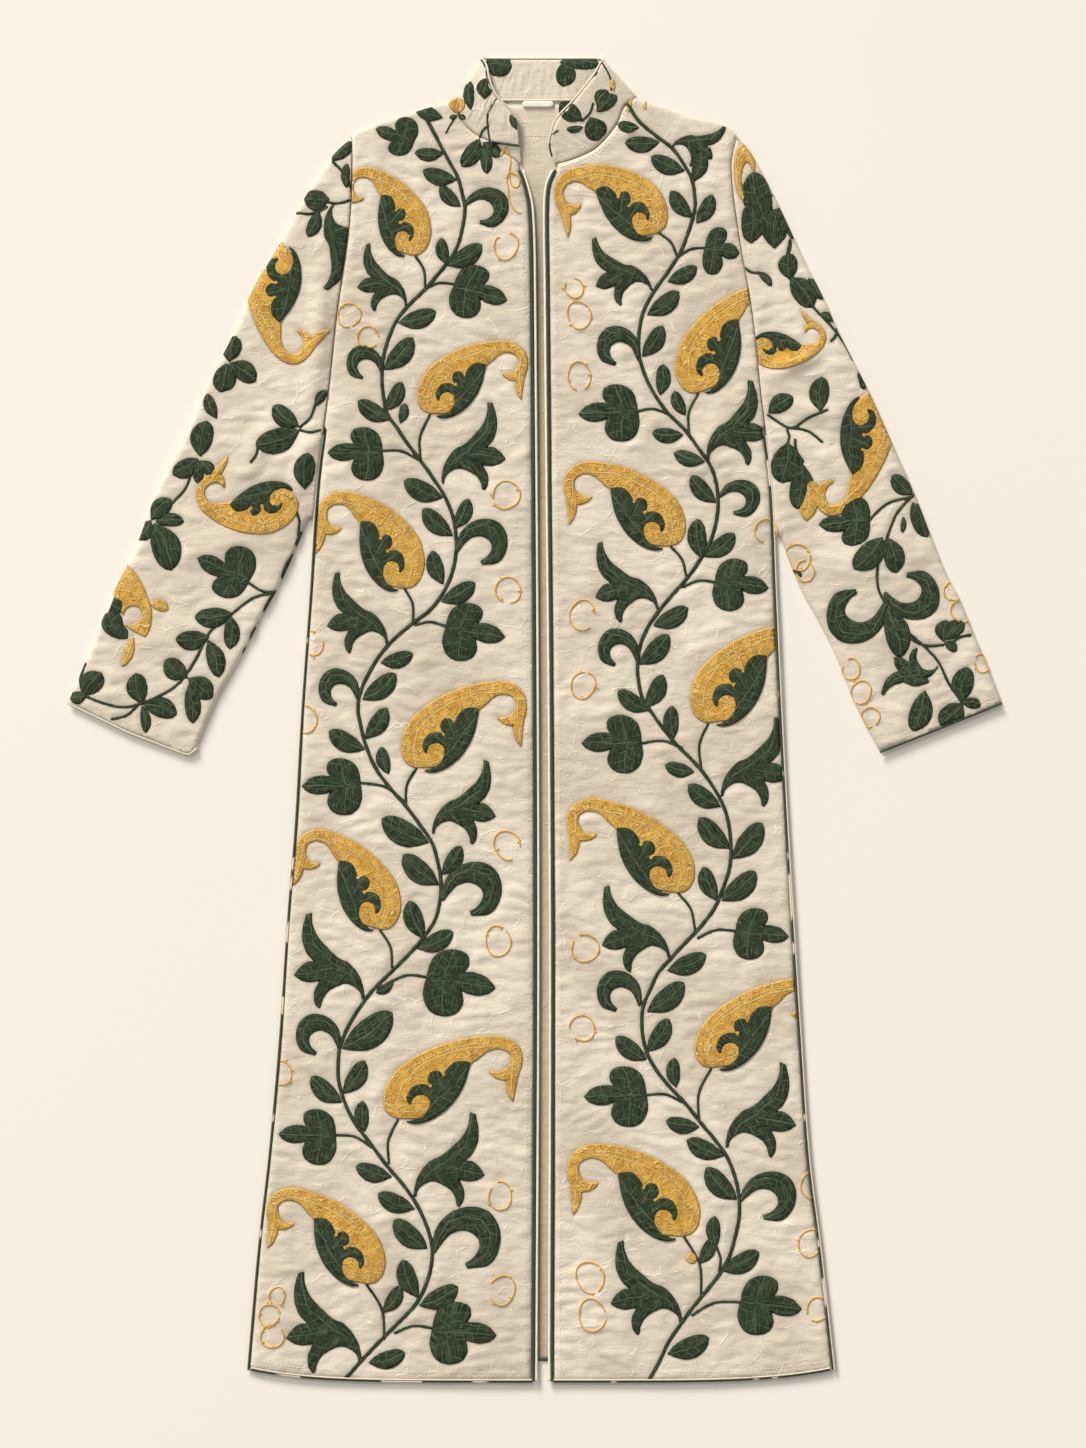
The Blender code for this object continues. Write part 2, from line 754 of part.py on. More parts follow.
def cord(name, path, radius, finish):
    """A round piping along a path."""
    curve = bpy.data.curves.new(name, "CURVE")
    curve.dimensions = "3D"
    curve.bevel_depth = radius * MM
    curve.bevel_resolution = 1
    curve.use_fill_caps = True
    spline = curve.splines.new("POLY")
    spline.points.add(len(path) - 1)
    for point, place in zip(spline.points, path):
        point.co = (*(Vector(place) * MM), 1)
    curve.materials.append(finish)
    made = bpy.data.objects.new(name, curve)
    bpy.context.scene.collection.objects.link(made)
    return made


def steps_between(low, high, step):
    count = max(1, round(abs(high - low) / step))
    return [low + (high - low) * i / count for i in range(count + 1)]


def hem_at(x):
    return HEM_Y + HEM_RISE * abs((x - HEM_CENTRE) / HEM_HALF) ** 5


def back_hem_at(x):
    return BACK_HEM_Y - BACK_HEM_FALL * abs((x - HEM_CENTRE) / HEM_HALF) ** 4


def side_points(column, low, high, step_in):
    """The body's edge between two heights. Below the underarm it lies step_in inside the outline."""
    inward = 1 if column == 1 else -1
    found = []
    for y in steps_between(SIDE_LOW, SIDE_HIGH, EDGE_STEP):
        shift = step_in if y < UNDERARM_Y else 0.0
        if low <= y <= high:
            found.append((read(BODY, y, column) + inward * shift, y))
    return found


def front_edge_points(column, offset, low, high):
    """Points up a front edge, offset into the cloth."""
    into = -1 if column == 1 else 1
    rows = steps_between(low, STRAIGHT_TOP, FRONT_EDGE_STEP) + [*NECK_HEIGHTS, high]
    return [(read(FRONT_EDGES, y, column) + into * offset, y) for y in rows]


def front_outline(column, neck, shoulder):
    """A front's outline, inside its trims."""
    into = 2 * PIPING_RADIUS + BINDING_WIDTH + 2 * SEAM
    edge_low = hem_at(read(FRONT_EDGES, HEM_Y, column)) + HEM_STEP
    edge = front_edge_points(column, into, edge_low, FRONT_EDGE_TOP)
    side = side_points(column, SIDE_LOW, SIDE_HIGH, SIDE_STEP)
    hem = [(x, hem_at(x) + HEM_STEP) for x in steps_between(side[0][0], edge[0][0], HEM_SPACING)][1:-1]
    seam = [(x, y + NECK_GAP) for x, y in neck[1:]]
    return hem + edge + seam + list(shoulder) + side[::-1]


def back_outline():
    right = side_points(1, SIDE_LOW, SIDE_HIGH, 0.0)
    left = side_points(2, SIDE_LOW, SIDE_HIGH, 0.0)
    hem = [(x, back_hem_at(x)) for x in steps_between(right[0][0], left[0][0], BACK_HEM_SPACING)][1:-1]
    return hem + left + list(SHOULDER_LEFT)[::-1] + list(BACK_NECK) + list(SHOULDER_RIGHT) + right[::-1]


def sleeve_outline(column, rows, cuff, ends=0.0, sides=0.0):
    """A sleeve's outline. A cutter's ends reach further out, and its sides lie further in."""
    away = -1 if column == 1 else 1
    outer = [(x - away * sides, y) for x, y, _, _ in rows]
    seam = [(x + away * sides, y) for _, _, x, y in rows if x]
    low = SLEEVE_LEAVES_Y[column - 1]
    top = SIDE_HIGH - HOLLOW_TOP * sides
    edge = [
        (x + away * (2 * SEAM - ends), y) for x, y in side_points(column, low, top, 0.0)
    ]
    edge = [(x, y) if y > UNDERARM_Y else (x + away * (sides + ends), y) for x, y in edge][1:]
    hem = [(x, y - ends) for x, y in cuff[1:-1]]
    outer[-1] = (outer[-1][0], outer[-1][1] - ends)
    seam[-1] = (seam[-1][0], seam[-1][1] - ends)
    return outer + hem + seam[::-1] + edge


def sleeve(name, column, rows, cuff, folds, shapes, finish):
    """A flattened tube: the under layer on the floor, a thin hollow, and the embroidered upper layer."""
    levels = (0.0, 0.0, SLEEVE_LEVEL + CLOTH, 1.0)
    made = cloth(name, sleeve_outline(column, rows, cuff), folds, shapes, levels, finish)
    hollow = sleeve_outline(column, rows, cuff, HOLLOW_ENDS, HOLLOW_SIDES)
    cutter = cloth(name + "_hollow", hollow, folds, [], (CLOTH, 0.0, SLEEVE_LEVEL, 1.0), finish)
    cutter.hide_render = True
    cutter.display_type = "WIRE"
    cut = made.modifiers.new("hollow", "BOOLEAN")
    cut.operation = "DIFFERENCE"
    cut.solver = "EXACT"
    cut.object = cutter
    return made


def lifted(path, folds, height):
    return [(x, y, height + form(folds, x, y)) for x, y in path]


def front_trims(side, column, folds, green, cream):
    """The piping and the binding of one front: along its front edge, its side and its hem."""
    low = hem_at(read(FRONT_EDGES, HEM_Y, column)) + TRIM_RISE
    at = BINDING_WIDTH + SEAM + PIPING_RADIUS
    piping = front_edge_points(column, at, low, TRIM_TOP)
    cord(f"edge_piping_{side}", lifted(piping, folds, FRONT_LEVEL + PIPING_RADIUS), PIPING_RADIUS, green)
    near = front_edge_points(column, 0.0, low, TRIM_TOP)
    far = front_edge_points(column, BINDING_WIDTH, low, TRIM_TOP)
    rows = []
    for first, second in zip(near, far):
        a = lifted([first], folds, FRONT_LEVEL + CLOTH / 2)[0]
        b = lifted([second], folds, FRONT_LEVEL + CLOTH / 2)[0]
        rows.append((*a, *b))
    wall(f"edge_binding_{side}", rows, CLOTH, cream)
    line = side_points(column, SIDE_LOW, UNDERARM_Y, SIDE_PIPING_DEPTH)
    cord(
        f"side_piping_{side}",
        lifted(line, folds, FRONT_LEVEL + THIN_PIPING_RADIUS),
        THIN_PIPING_RADIUS,
        green,
    )
    away = 1 if column == 1 else -1
    inner = read(FRONT_EDGES, HEM_Y, column) - away * (at + HEM_PIPING_END)
    outer = line[0][0] + away * HEM_PIPING_END
    hem = [(x, hem_at(x) + HEM_PIPING_RISE) for x in steps_between(outer, inner, HEM_PIPING_SPACING)]
    cord(
        f"hem_piping_{side}",
        lifted(hem, folds, FRONT_LEVEL + THIN_PIPING_RADIUS),
        THIN_PIPING_RADIUS,
        green,
    )


def cuff_piping(name, cuff, folds, finish):
    """The piping under the edge of a cuff's upper layer."""
    drop = THIN_PIPING_RADIUS + CUFF_PIPING_DROP
    path = []
    for (x0, y0), (x1, y1) in zip(cuff, cuff[1:]):
        steps = steps_between(0, 1, CUFF_STEP)
        path += [(x0 + (x1 - x0) * t, y0 + (y1 - y0) * t - drop) for t in steps][:-1]
    path.append((cuff[-1][0], cuff[-1][1] - drop))
    height = SLEEVE_LEVEL + CLOTH / 2
    cord(name, lifted(path, folds, height), THIN_PIPING_RADIUS, finish)


def collar_piping(name, finish):
    """The piping that lies along the collar's free edge."""
    path = []
    for i, row in enumerate(COLLAR):
        low, high = Vector(row[:3]), Vector(row[3:])
        along = Vector(COLLAR[min(i + 1, len(COLLAR) - 1)][3:]) - Vector(COLLAR[max(i - 1, 0)][3:])
        out = high - low
        out -= out.project(along)
        path.append(tuple(high + out.normalized() * COLLAR_PIPING_OFFSET))
    cord(name, path, THIN_PIPING_RADIUS, finish)


def hanger_loop(name, finish):
    """A flat loop of cloth with round ends, sewn under the neck seam."""
    x, y, length, width = HANGER
    half = width / 2
    outline = []
    for centre, start in ((x + length / 2 - half, -90), (x - length / 2 + half, 90)):
        for k in range(5):
            angle = math.radians(start + 45 * k)
            outline.append((centre + half * math.cos(angle), y + half * math.sin(angle)))
    levels = (FRONT_LEVEL, 0.0, FRONT_LEVEL + CLOTH, 0.0)
    return cloth(name, outline, (), [], levels, finish)


def centre_on_origin():
    """Moves every piece alike, so that the laid coat's box is centred over the origin."""
    bpy.context.view_layer.update()
    graph = bpy.context.evaluated_depsgraph_get()
    xs, ys = [], []
    for made in bpy.context.scene.objects:
        if not made.hide_render:
            mesh = made.evaluated_get(graph).to_mesh()
            xs += [v.co.x for v in mesh.vertices]
            ys += [v.co.y for v in mesh.vertices]
    shift = Vector((-(min(xs) + max(xs)) / 2, -(min(ys) + max(ys)) / 2, 0))
    for made in bpy.context.scene.objects:
        made.location = shift


def main():
    for old in list(bpy.data.objects):
        bpy.data.objects.remove(old)
    ground = material("cloth", (0.72, 0.63, 0.49), 0.9)
    lining = material("lining", (0.67, 0.57, 0.45), 0.9)
    green = material("green_piping", (0.04, 0.06, 0.03), 0.8)
    cream = material("cream_binding", (0.78, 0.69, 0.56), 0.85)
    cloth("back", back_outline(), (), [], (0.0, 0.0, CLOTH, 0.0), lining)
    levels = (FRONT_LEVEL, 1.0, FRONT_LEVEL + CLOTH, 1.0)
    right = vine_shapes(VINE_TOP_RIGHT, CRESTS_RIGHT, VINE_END_RIGHT) + single_shapes(EXTRAS_RIGHT)
    left = vine_shapes(VINE_TOP_LEFT, CRESTS_LEFT, VINE_END_LEFT) + single_shapes(EXTRAS_LEFT)
    outline = front_outline(1, NECK_RIGHT, SHOULDER_RIGHT)
    cloth("front_right", outline, FOLDS_FRONT_RIGHT, right, levels, ground)
    outline = front_outline(2, NECK_LEFT, SHOULDER_LEFT)
    cloth("front_left", outline, FOLDS_FRONT_LEFT, left, levels, ground)
    shapes = single_shapes(EXTRAS_SLEEVE_RIGHT, SLEEVE_VINE_RIGHT)
    sleeve("sleeve_right", 1, SLEEVE_RIGHT, CUFF_RIGHT, FOLDS_SLEEVE_RIGHT, shapes, ground)
    shapes = single_shapes(EXTRAS_SLEEVE_LEFT, SLEEVE_VINE_LEFT)
    sleeve("sleeve_left", 2, SLEEVE_LEFT, CUFF_LEFT, FOLDS_SLEEVE_LEFT, shapes, ground)
    front_trims("right", 1, FOLDS_FRONT_RIGHT, green, cream)
    front_trims("left", 2, FOLDS_FRONT_LEFT, green, cream)
    cuff_piping("cuff_piping_right", CUFF_RIGHT, FOLDS_SLEEVE_RIGHT, cream)
    cuff_piping("cuff_piping_left", CUFF_LEFT, FOLDS_SLEEVE_LEFT, green)
    back_hem = [
        (x, back_hem_at(x) - BACK_HEM_PIPING_DROP, THIN_PIPING_RADIUS)
        for x in steps_between(*BACK_HEM_PIPING_ENDS, BACK_HEM_SPACING)
    ]
    cord("hem_piping_back", back_hem, THIN_PIPING_RADIUS, green)
    wall("collar", COLLAR, CLOTH, ground)
    wall("collar_tab", COLLAR_TAB, CLOTH, lining)
    collar_piping("collar_piping", cream)
    hanger_loop("hanger_loop", lining)
    centre_on_origin()


main()
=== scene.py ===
"""The looks of a kaftan laid flat: quilted cloth, raised embroidery, piping, stitches, floor, light and camera.

The shapes are worked out in millimetres, +Y towards the collar and +Z off the floor, and made in metres.
Right and left are the wearer's, so the right front and sleeve are at -X.
"""

import math

import bpy
import numpy as np
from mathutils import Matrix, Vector, kdtree, noise
from mathutils.bvhtree import BVHTree
from mathutils.geometry import delaunay_2d_cdt


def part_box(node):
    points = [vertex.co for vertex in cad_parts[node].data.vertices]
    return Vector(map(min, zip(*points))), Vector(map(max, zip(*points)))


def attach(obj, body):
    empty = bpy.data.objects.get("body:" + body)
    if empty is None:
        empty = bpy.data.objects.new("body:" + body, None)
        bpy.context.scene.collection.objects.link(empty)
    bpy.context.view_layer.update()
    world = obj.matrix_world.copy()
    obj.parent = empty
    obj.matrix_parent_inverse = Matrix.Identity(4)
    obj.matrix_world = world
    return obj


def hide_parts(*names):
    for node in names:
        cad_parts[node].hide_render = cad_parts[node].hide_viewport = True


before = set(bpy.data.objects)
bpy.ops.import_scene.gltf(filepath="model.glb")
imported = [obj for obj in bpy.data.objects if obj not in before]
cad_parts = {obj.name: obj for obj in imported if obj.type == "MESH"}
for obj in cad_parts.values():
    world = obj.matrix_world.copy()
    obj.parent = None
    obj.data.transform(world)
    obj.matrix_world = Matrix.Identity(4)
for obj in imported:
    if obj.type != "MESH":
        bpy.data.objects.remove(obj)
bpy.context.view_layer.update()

bl_info = {
    "name": "Laid kaftan",
    "version": (1, 0, 0),
    "blender": (4, 5, 0),
    "location": "View3D > Sidebar > Kaftan",
    "description": "Dresses a flat kaftan with quilted cloth, embroidery, piping and stitches",
    "category": "Object",
}

MM = 0.001
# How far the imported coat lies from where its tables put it, by the back's corner
BACK_CORNER = (-288.2, -648.0)
SHIFT = np.array([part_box("back")[0][0] / MM - BACK_CORNER[0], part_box("back")[0][1] / MM - BACK_CORNER[1], 0.0])
BODY_NAME = "root"

# Levels of the laid pieces above the floor
CLOTH = 2.0
SEAM = 0.3
FRONT_LEVEL = CLOTH + SEAM
SLEEVE_LEVEL = CLOTH + 1.0
PIPING_RADIUS = 1.4
THIN_PIPING_RADIUS = 1.0
BINDING_WIDTH = 2.4
# The pale turned edge beside the hem's piping and the side's
LIP_RADIUS = 0.8
LIP_RISE = 1.9
LIP_SIDE = 1.7
NECK_LIP_Y = 621.2
SIDE_STEP = 3.4
HEM_STEP = 2.4

# The hem, the underarm and the sides
HEM_Y = -661.5
HEM_RISE = 13.0
HEM_HALF = 294.0
HEM_CENTRE = 6.0
BACK_HEM_Y = -638.0
BACK_HEM_FALL = 11.0
UNDERARM_Y = 291.0
SLEEVE_LEAVES_Y = 201.0
SLEEVE_LEAVES_LEFT_Y = 184.0
SIDE_LOW = -648.5
SIDE_HIGH = 585.5

# Soft waves of the lying cloth
WAVE_HEIGHT = 1.2
WAVE_X = 31.0
WAVE_Y = 43.0

# Body, from hem to shoulder: height, right edge, left edge
BODY = (
    (-650, -288.5, 300),
    (-525, -277.5, 286),
    (-438, -267.5, 275),
    (-323, -257, 267),
    (-192, -248, 258.5),
    (-107, -241, 253.5),
    (14, -234, 247),
    (124, -226, 242),
    (236, -218.5, 237),
    (325, -207, 226),
    (408, -198, 217),
    (491, -186, 203),
    (555, -183, 196),
    (587, -183, 202),
)

# Front edges, from hem to neck: height, edge of the right front, edge of the left front
FRONT_EDGES = (
    (-664, 2.5, 13),
    (-179, 4.6, 13.8),
    (440, 1.2, 8.6),
    (512, -1, 8),
    (536, -6, 10),
    (556, -13, 18.6),
)

# Neck seams of the fronts, from the front edge to the shoulder: across, height
NECK_RIGHT = ((-13, 556), (-29, 567), (-45, 579), (-57, 585), (-69, 594), (-76, 603), (-78, 616), (-78, 624))
NECK_LEFT = ((18.6, 556), (38, 561.4), (57.5, 570), (68, 579), (76, 588), (83, 598), (89, 613), (100, 623))

# Shoulder seams, from the neck to the sleeve: across, height
SHOULDER_RIGHT = ((-92, 618), (-118, 610), (-156, 599), (-177, 590.5))
SHOULDER_LEFT = ((108, 619), (136, 611), (154, 605), (179, 599), (194, 593))

# Sleeves, from the shoulder to the cuff: outer fold across, its height, underarm seam across, its height
SLEEVE_RIGHT = (
    (-184, 583, 0, 0),
    (-204, 564, 0, 0),
    (-231, 523, 0, 0),
    (-255, 478, 0, 0),
    (-282, 433, 0, 0),
    (-303, 385, 0, 0),
    (-331, 331, 0, 0),
    (-348, 290, 0, 0),
    (-379, 229, -227, 201),
    (-398, 178, -252, 143),
    (-421, 130, -271, 108),
    (-437, 92, -296, 60),
    (-451, 57, -319, 19),
    (-467, 19, -338, -26),
)
SLEEVE_LEFT = (
    (203.5, 583, 0, 0),
    (217, 567, 0, 0),
    (237, 530, 0, 0),
    (252, 499, 0, 0),
    (270, 460, 0, 0),
    (289, 423, 0, 0),
    (304, 389, 0, 0),
    (335, 328, 0, 0),
    (363, 265, 0, 0),
    (380, 227, 246, 184),
    (409, 153, 263, 138),
    (424, 124, 283, 101),
    (438, 90, 300, 67),
    (454, 52, 322, 13),
    (467, 19, 345, -30),
)
CUFF_RIGHT = ((-467, 19), (-407, -10), (-347, -33), (-338, -26))
CUFF_LEFT = ((467, 19), (408, -5), (345, -30))

# Folds: from, to, half width, height
FOLDS_FRONT_RIGHT = (
    (-190, 330, -120, 200, 26, 2.4),
    (-205, 235, -150, 40, 30, 2.0),
    (-120, 560, -95, 400, 26, 1.6),
    (-170, -420, -150, -620, 34, 2.0),
    (-60, -440, -40, -640, 30, 1.6),
)
FOLDS_FRONT_LEFT = (
    (205, 330, 130, 215, 26, 2.4),
    (225, 240, 175, 30, 30, 2.0),
    (110, 540, 95, 400, 26, 1.6),
    (190, -400, 170, -620, 34, 2.0),
    (70, -460, 60, -640, 30, 1.6),
)
FOLDS_SLEEVE_RIGHT = (
    (-212, 470, -222, 300, 17, 4.5),
    (-222, 300, -240, 215, 17, 5.0),
    (-235, 330, -300, 240, 22, 3.0),
    (-260, 200, -380, 150, 24, 2.4),
    (-290, 110, -400, 70, 24, 2.0),
)
FOLDS_SLEEVE_LEFT = (
    (226, 340, 292, 373, 15, 5.5),
    (232, 320, 320, 300, 18, 3.6),
    (240, 300, 330, 235, 20, 3.2),
    (262, 150, 390, 170, 24, 2.4),
    (300, 90, 420, 80, 24, 2.0),
)

# The collar's wall, round the neck from the right front end: seam x, y, z, then free edge x, y, z
COLLAR = (
    (-13.6, 557, 3.6, -17, 599, 6.4),
    (-30, 568.5, 3.6, -25, 609, 7.4),
    (-45, 580, 3.6, -36, 620, 8.2),
    (-59, 587, 3.6, -42, 628, 8.2),
    (-71.5, 600, 3.6, -47.5, 643, 7.2),
    (-75, 611, 3.6, -49, 652, 5.6),
    (-75.4, 619.4, 2.9, -51.5, 658.5, 3.6),
    (-76.2, 621.6, 2.25, -53.2, 661, 2.25),
    (-74, 620.8, 1.3, -50.5, 661.6, 1.3),
    (-68, 619.8, 1, -44, 661.8, 1),
    (-34, 619.4, 1, -22, 661.6, 1),
    (6, 619.2, 1, 8, 661.5, 1),
    (46, 619.4, 1, 36, 661.6, 1),
    (80, 620.4, 1, 59, 661.6, 1),
    (97, 622.6, 1.3, 66.5, 660.6, 1.3),
    (101.5, 624.5, 2.25, 68.6, 659.8, 2.25),
    (98.5, 622.6, 2.9, 66.4, 657, 3.6),
    (88.4, 614.6, 3.6, 61, 647, 5.6),
    (82.4, 599.4, 3.6, 51, 634, 7.2),
    (70, 583, 3.6, 38, 618, 8.2),
    (57, 571.6, 3.6, 23, 602, 8.2),
    (38, 562.8, 3.6, 17.5, 588, 7.4),
    (19, 557.4, 3.6, 15, 577, 6.4),
)

# The turned-back end of the collar, from its fold: lower x, y, z, then upper x, y, z
COLLAR_TAB = (
    (-16, 575, 7.6, -18, 601, 10.4),
    (-24, 576, 7.8, -24, 608, 10.8),
    (-35, 577.5, 7.9, -37, 620, 11),
    (-44, 579, 7.6, -46.5, 611, 10.4),
)

# The hanger loop at the back of the neck: centre x, y, length, width
HANGER = (3.0, 617.0, 32.0, 6.6)

# Outlines on an axis from 0 at the stem to 1 at the tip: along, across, and 1 where there is a corner
PAISLEY_OUTLINE = (
    (0, 0, 1), (-0.067, -0.052, 0), (-0.099, -0.151, 0), (-0.085, -0.271, 0), (-0.043, -0.363, 0),
    (0.028, -0.457, 0), (0.12, -0.533, 0), (0.246, -0.594, 0), (0.393, -0.639, 0),
    (0.552, -0.664, 0), (0.705, -0.663, 0), (0.85, -0.641, 0), (0.961, -0.608, 0),
    (1.048, -0.54, 0), (1.099, -0.453, 0), (1.108, -0.351, 0), (1.083, -0.25, 0),
    (1.037, -0.159, 0), (0.998, -0.051, 0), (0.945, 0.1, 1), (0.914, 0.008, 0), (0.911, -0.091, 0),
    (0.921, -0.143, 1), (0.869, -0.167, 0), (0.816, -0.233, 0), (0.808, -0.293, 1),
    (0.869, -0.258, 0), (0.934, -0.263, 0), (0.984, -0.31, 0), (1.005, -0.384, 0),
    (0.97, -0.445, 0), (0.9, -0.477, 0), (0.825, -0.467, 0), (0.747, -0.419, 0), (0.683, -0.386, 0),
    (0.615, -0.27, 0), (0.561, -0.168, 0), (0.479, -0.08, 0), (0.348, 0.006, 0), (0.197, 0.045, 0),
    (0.08, 0.023, 0),
)
PAISLEY_GREEN = (
    (0.685, -0.411, 1), (0.63, -0.445, 0), (0.564, -0.46, 0), (0.507, -0.435, 0), (0.459, -0.393, 0),
    (0.435, -0.358, 1), (0.417, -0.396, 0), (0.376, -0.417, 0), (0.328, -0.404, 0), (0.297, -0.354, 0),
    (0.293, -0.308, 0), (0.311, -0.27, 1), (0.281, -0.298, 0), (0.232, -0.314, 0), (0.175, -0.308, 0),
    (0.126, -0.267, 0), (0.093, -0.208, 0), (0.092, -0.147, 0), (0.107, -0.111, 1), (0.136, -0.124, 0),
    (0.149, -0.162, 0), (0.187, -0.187, 0), (0.236, -0.181, 0), (0.268, -0.141, 0), (0.266, -0.083, 0),
    (0.236, -0.027, 0), (0.188, 0.013, 0), (0.111, 0.039, 0), (0.027, 0.024, 1), (0.11, 0.084, 0),
    (0.216, 0.089, 0), (0.325, 0.055, 0), (0.433, -0.012, 0), (0.534, -0.116, 0), (0.604, -0.228, 0),
    (0.648, -0.328, 0),
)
PALMETTE_OUTLINE = (
    (0.009, 0.02, 1), (0.067, -0.01, 0), (0.147, 0.005, 0), (0.22, 0.061, 0), (0.244, 0.149, 0),
    (0.245, 0.253, 0), (0.21, 0.33, 0), (0.158, 0.382, 0), (0.156, 0.418, 1), (0.234, 0.418, 0),
    (0.322, 0.367, 0), (0.366, 0.302, 0), (0.382, 0.274, 1), (0.423, 0.36, 0), (0.489, 0.42, 0),
    (0.562, 0.449, 1), (0.599, 0.363, 0), (0.607, 0.27, 0), (0.576, 0.212, 1), (0.666, 0.23, 0),
    (0.791, 0.207, 0), (0.902, 0.14, 0), (1.006, 0.034, 1), (0.991, -0.034, 1), (0.893, 0.023, 0),
    (0.769, 0.046, 0), (0.653, 0.029, 0), (0.484, -0.014, 0), (0.391, -0.073, 0), (0.27, -0.096, 0),
    (0.154, -0.087, 0), (0.042, -0.046, 0), (-0.006, -0.014, 1),
)
TREFOIL_OUTLINE = (
    (0, 0, 1), (0.012, 0.164, 0), (0.075, 0.335, 0), (0.23, 0.446, 0), (0.412, 0.464, 0),
    (0.555, 0.399, 0), (0.582, 0.265, 0), (0.531, 0.167, 1), (0.674, 0.18, 0), (0.856, 0.133, 0),
    (1, 0, 1), (0.91, -0.099, 0), (0.754, -0.149, 0), (0.599, -0.137, 0), (0.533, -0.114, 1),
    (0.574, -0.272, 0), (0.51, -0.418, 0), (0.368, -0.493, 0), (0.186, -0.49, 0),
    (0.055, -0.398, 0), (-0.019, -0.227, 0), (-0.013, -0.056, 0),
)
CRESCENT_OUTLINE = (
    (-0.027, 0.068, 1), (0.096, 0.354, 0), (0.279, 0.523, 0), (0.5, 0.601, 0), (0.728, 0.587, 0),
    (0.921, 0.473, 0), (1.022, 0.264, 0), (1.019, 0.032, 0), (0.929, -0.169, 0), (0.765, -0.306, 0),
    (0.463, -0.305, 1), (0.441, -0.212, 1), (0.565, -0.158, 0), (0.672, -0.041, 0),
    (0.69, 0.089, 0), (0.597, 0.21, 0), (0.458, 0.259, 0), (0.293, 0.227, 0), (0.158, 0.119, 0),
    (0.015, -0.036, 1),
)
# The part of a paisley that shows at the right cuff, its hole open, and the green beside it
CUFF_PAISLEY = (
    (1.008, 0.001, 1), (0.885, -0.155, 0), (0.704, -0.305, 0), (0.492, -0.425, 0),
    (0.297, -0.519, 0), (0.117, -0.562, 0), (-0.067, -0.565, 0), (-0.222, -0.532, 0),
    (-0.322, -0.477, 1), (-0.268, -0.324, 0), (-0.192, -0.144, 0), (-0.082, -0.022, 1),
    (-0.099, -0.135, 0), (-0.056, -0.273, 0), (0.043, -0.357, 0), (0.168, -0.344, 0),
    (0.235, -0.243, 0), (0.215, -0.122, 0), (0.138, -0.053, 0), (0.041, -0.03, 1),
    (0.116, 0.043, 0), (0.254, 0.086, 0), (0.366, 0.192, 1), (0.488, 0.205, 0), (0.72, 0.135, 0),
)
CUFF_GREEN = (
    (0.366, 0.192, 1), (0.406, 0.082, 0), (0.356, -0.026, 0), (0.236, -0.051, 0), (0.119, 0.011, 0),
    (0.084, 0.069, 1), (-0.002, -0.01, 0), (-0.121, -0.047, 0), (-0.213, -0.146, 1),
    (-0.375, -0.155, 1), (-0.402, 0.018, 0), (-0.352, 0.208, 0), (-0.243, 0.342, 0),
    (-0.104, 0.381, 0), (0.022, 0.349, 0), (0.079, 0.273, 1),
)
# A leaf's width along its axis: along, part of its half width
LEAF_OUTLINE = (
    (0, 0.03), (0.06, 0.22), (0.15, 0.5), (0.3, 0.83), (0.45, 0.98), (0.6, 1.0), (0.75, 0.9), (0.88, 0.66), (0.96, 0.38), (1, 0.12),
)

# Lines that the sewing follows inside each shape, on the same axes
PAISLEY_SPINES = (
    ((0, -0.02), (0.02, -0.2), (0.1, -0.36), (0.25, -0.48), (0.45, -0.54), (0.7, -0.56), (0.95, -0.5), (1.04, -0.38), (0.98, -0.2), (0.95, 0.05)),
)
GREEN_SPINES = (
    ((0.02, 0), (0.25, -0.03), (0.45, -0.18), (0.65, -0.36)),
    ((0.25, -0.1), (0.08, -0.24)),
    ((0.3, -0.15), (0.19, -0.33)),
    ((0.4, -0.2), (0.38, -0.42)),
)
PALMETTE_SPINES = (
    ((0, 0), (0.25, -0.03), (0.45, 0.06), (0.7, 0.13), (1, 0)),
    ((0.3, 0.05), (0.16, 0.4)),
    ((0.42, 0.1), (0.56, 0.43)),
)
TREFOIL_SPINES = (
    ((0.1, 0), (1, 0)),
    ((0.25, 0.05), (0.35, 0.46)),
    ((0.25, -0.05), (0.3, -0.5)),
)
CRESCENT_SPINES = (
    ((0, 0), (0.1, 0.22), (0.3, 0.42), (0.55, 0.47), (0.8, 0.38), (0.88, 0.15), (0.8, -0.1), (0.5, -0.26)),
)

# The running vine on each front, from the shoulder to the hem: across, height
VINE_RIGHT = (
    (-110, 605), (-92, 571), (-85, 558), (-77, 543), (-72, 524), (-70, 511), (-73, 491), (-78, 474),
    (-88, 458), (-108, 434), (-128, 414), (-140, 398), (-148, 378), (-152, 361), (-153, 344), (-152, 328),
    (-148, 308), (-138, 293), (-128, 278), (-115, 261), (-102, 243), (-90, 224), (-82, 204), (-79, 184),
    (-79, 168), (-83, 148), (-92, 128), (-105, 111), (-122, 98), (-142, 81), (-157, 63), (-168, 44),
    (-175, 28), (-177, 11), (-175, -1), (-170, -22), (-160, -46), (-145, -67), (-130, -84), (-115, -104),
    (-103, -122), (-97, -142), (-94, -161), (-95, -179), (-100, -199), (-112, -217), (-125, -232),
    (-145, -252), (-162, -269), (-175, -286), (-187, -306), (-195, -326), (-197, -346), (-196, -362),
    (-190, -382), (-180, -402), (-162, -426), (-147, -446), (-130, -466), (-117, -486), (-108, -506),
    (-103, -526), (-104, -546), (-110, -566), (-120, -584), (-137, -602), (-157, -622), (-173, -639),
    (-189, -657),
)
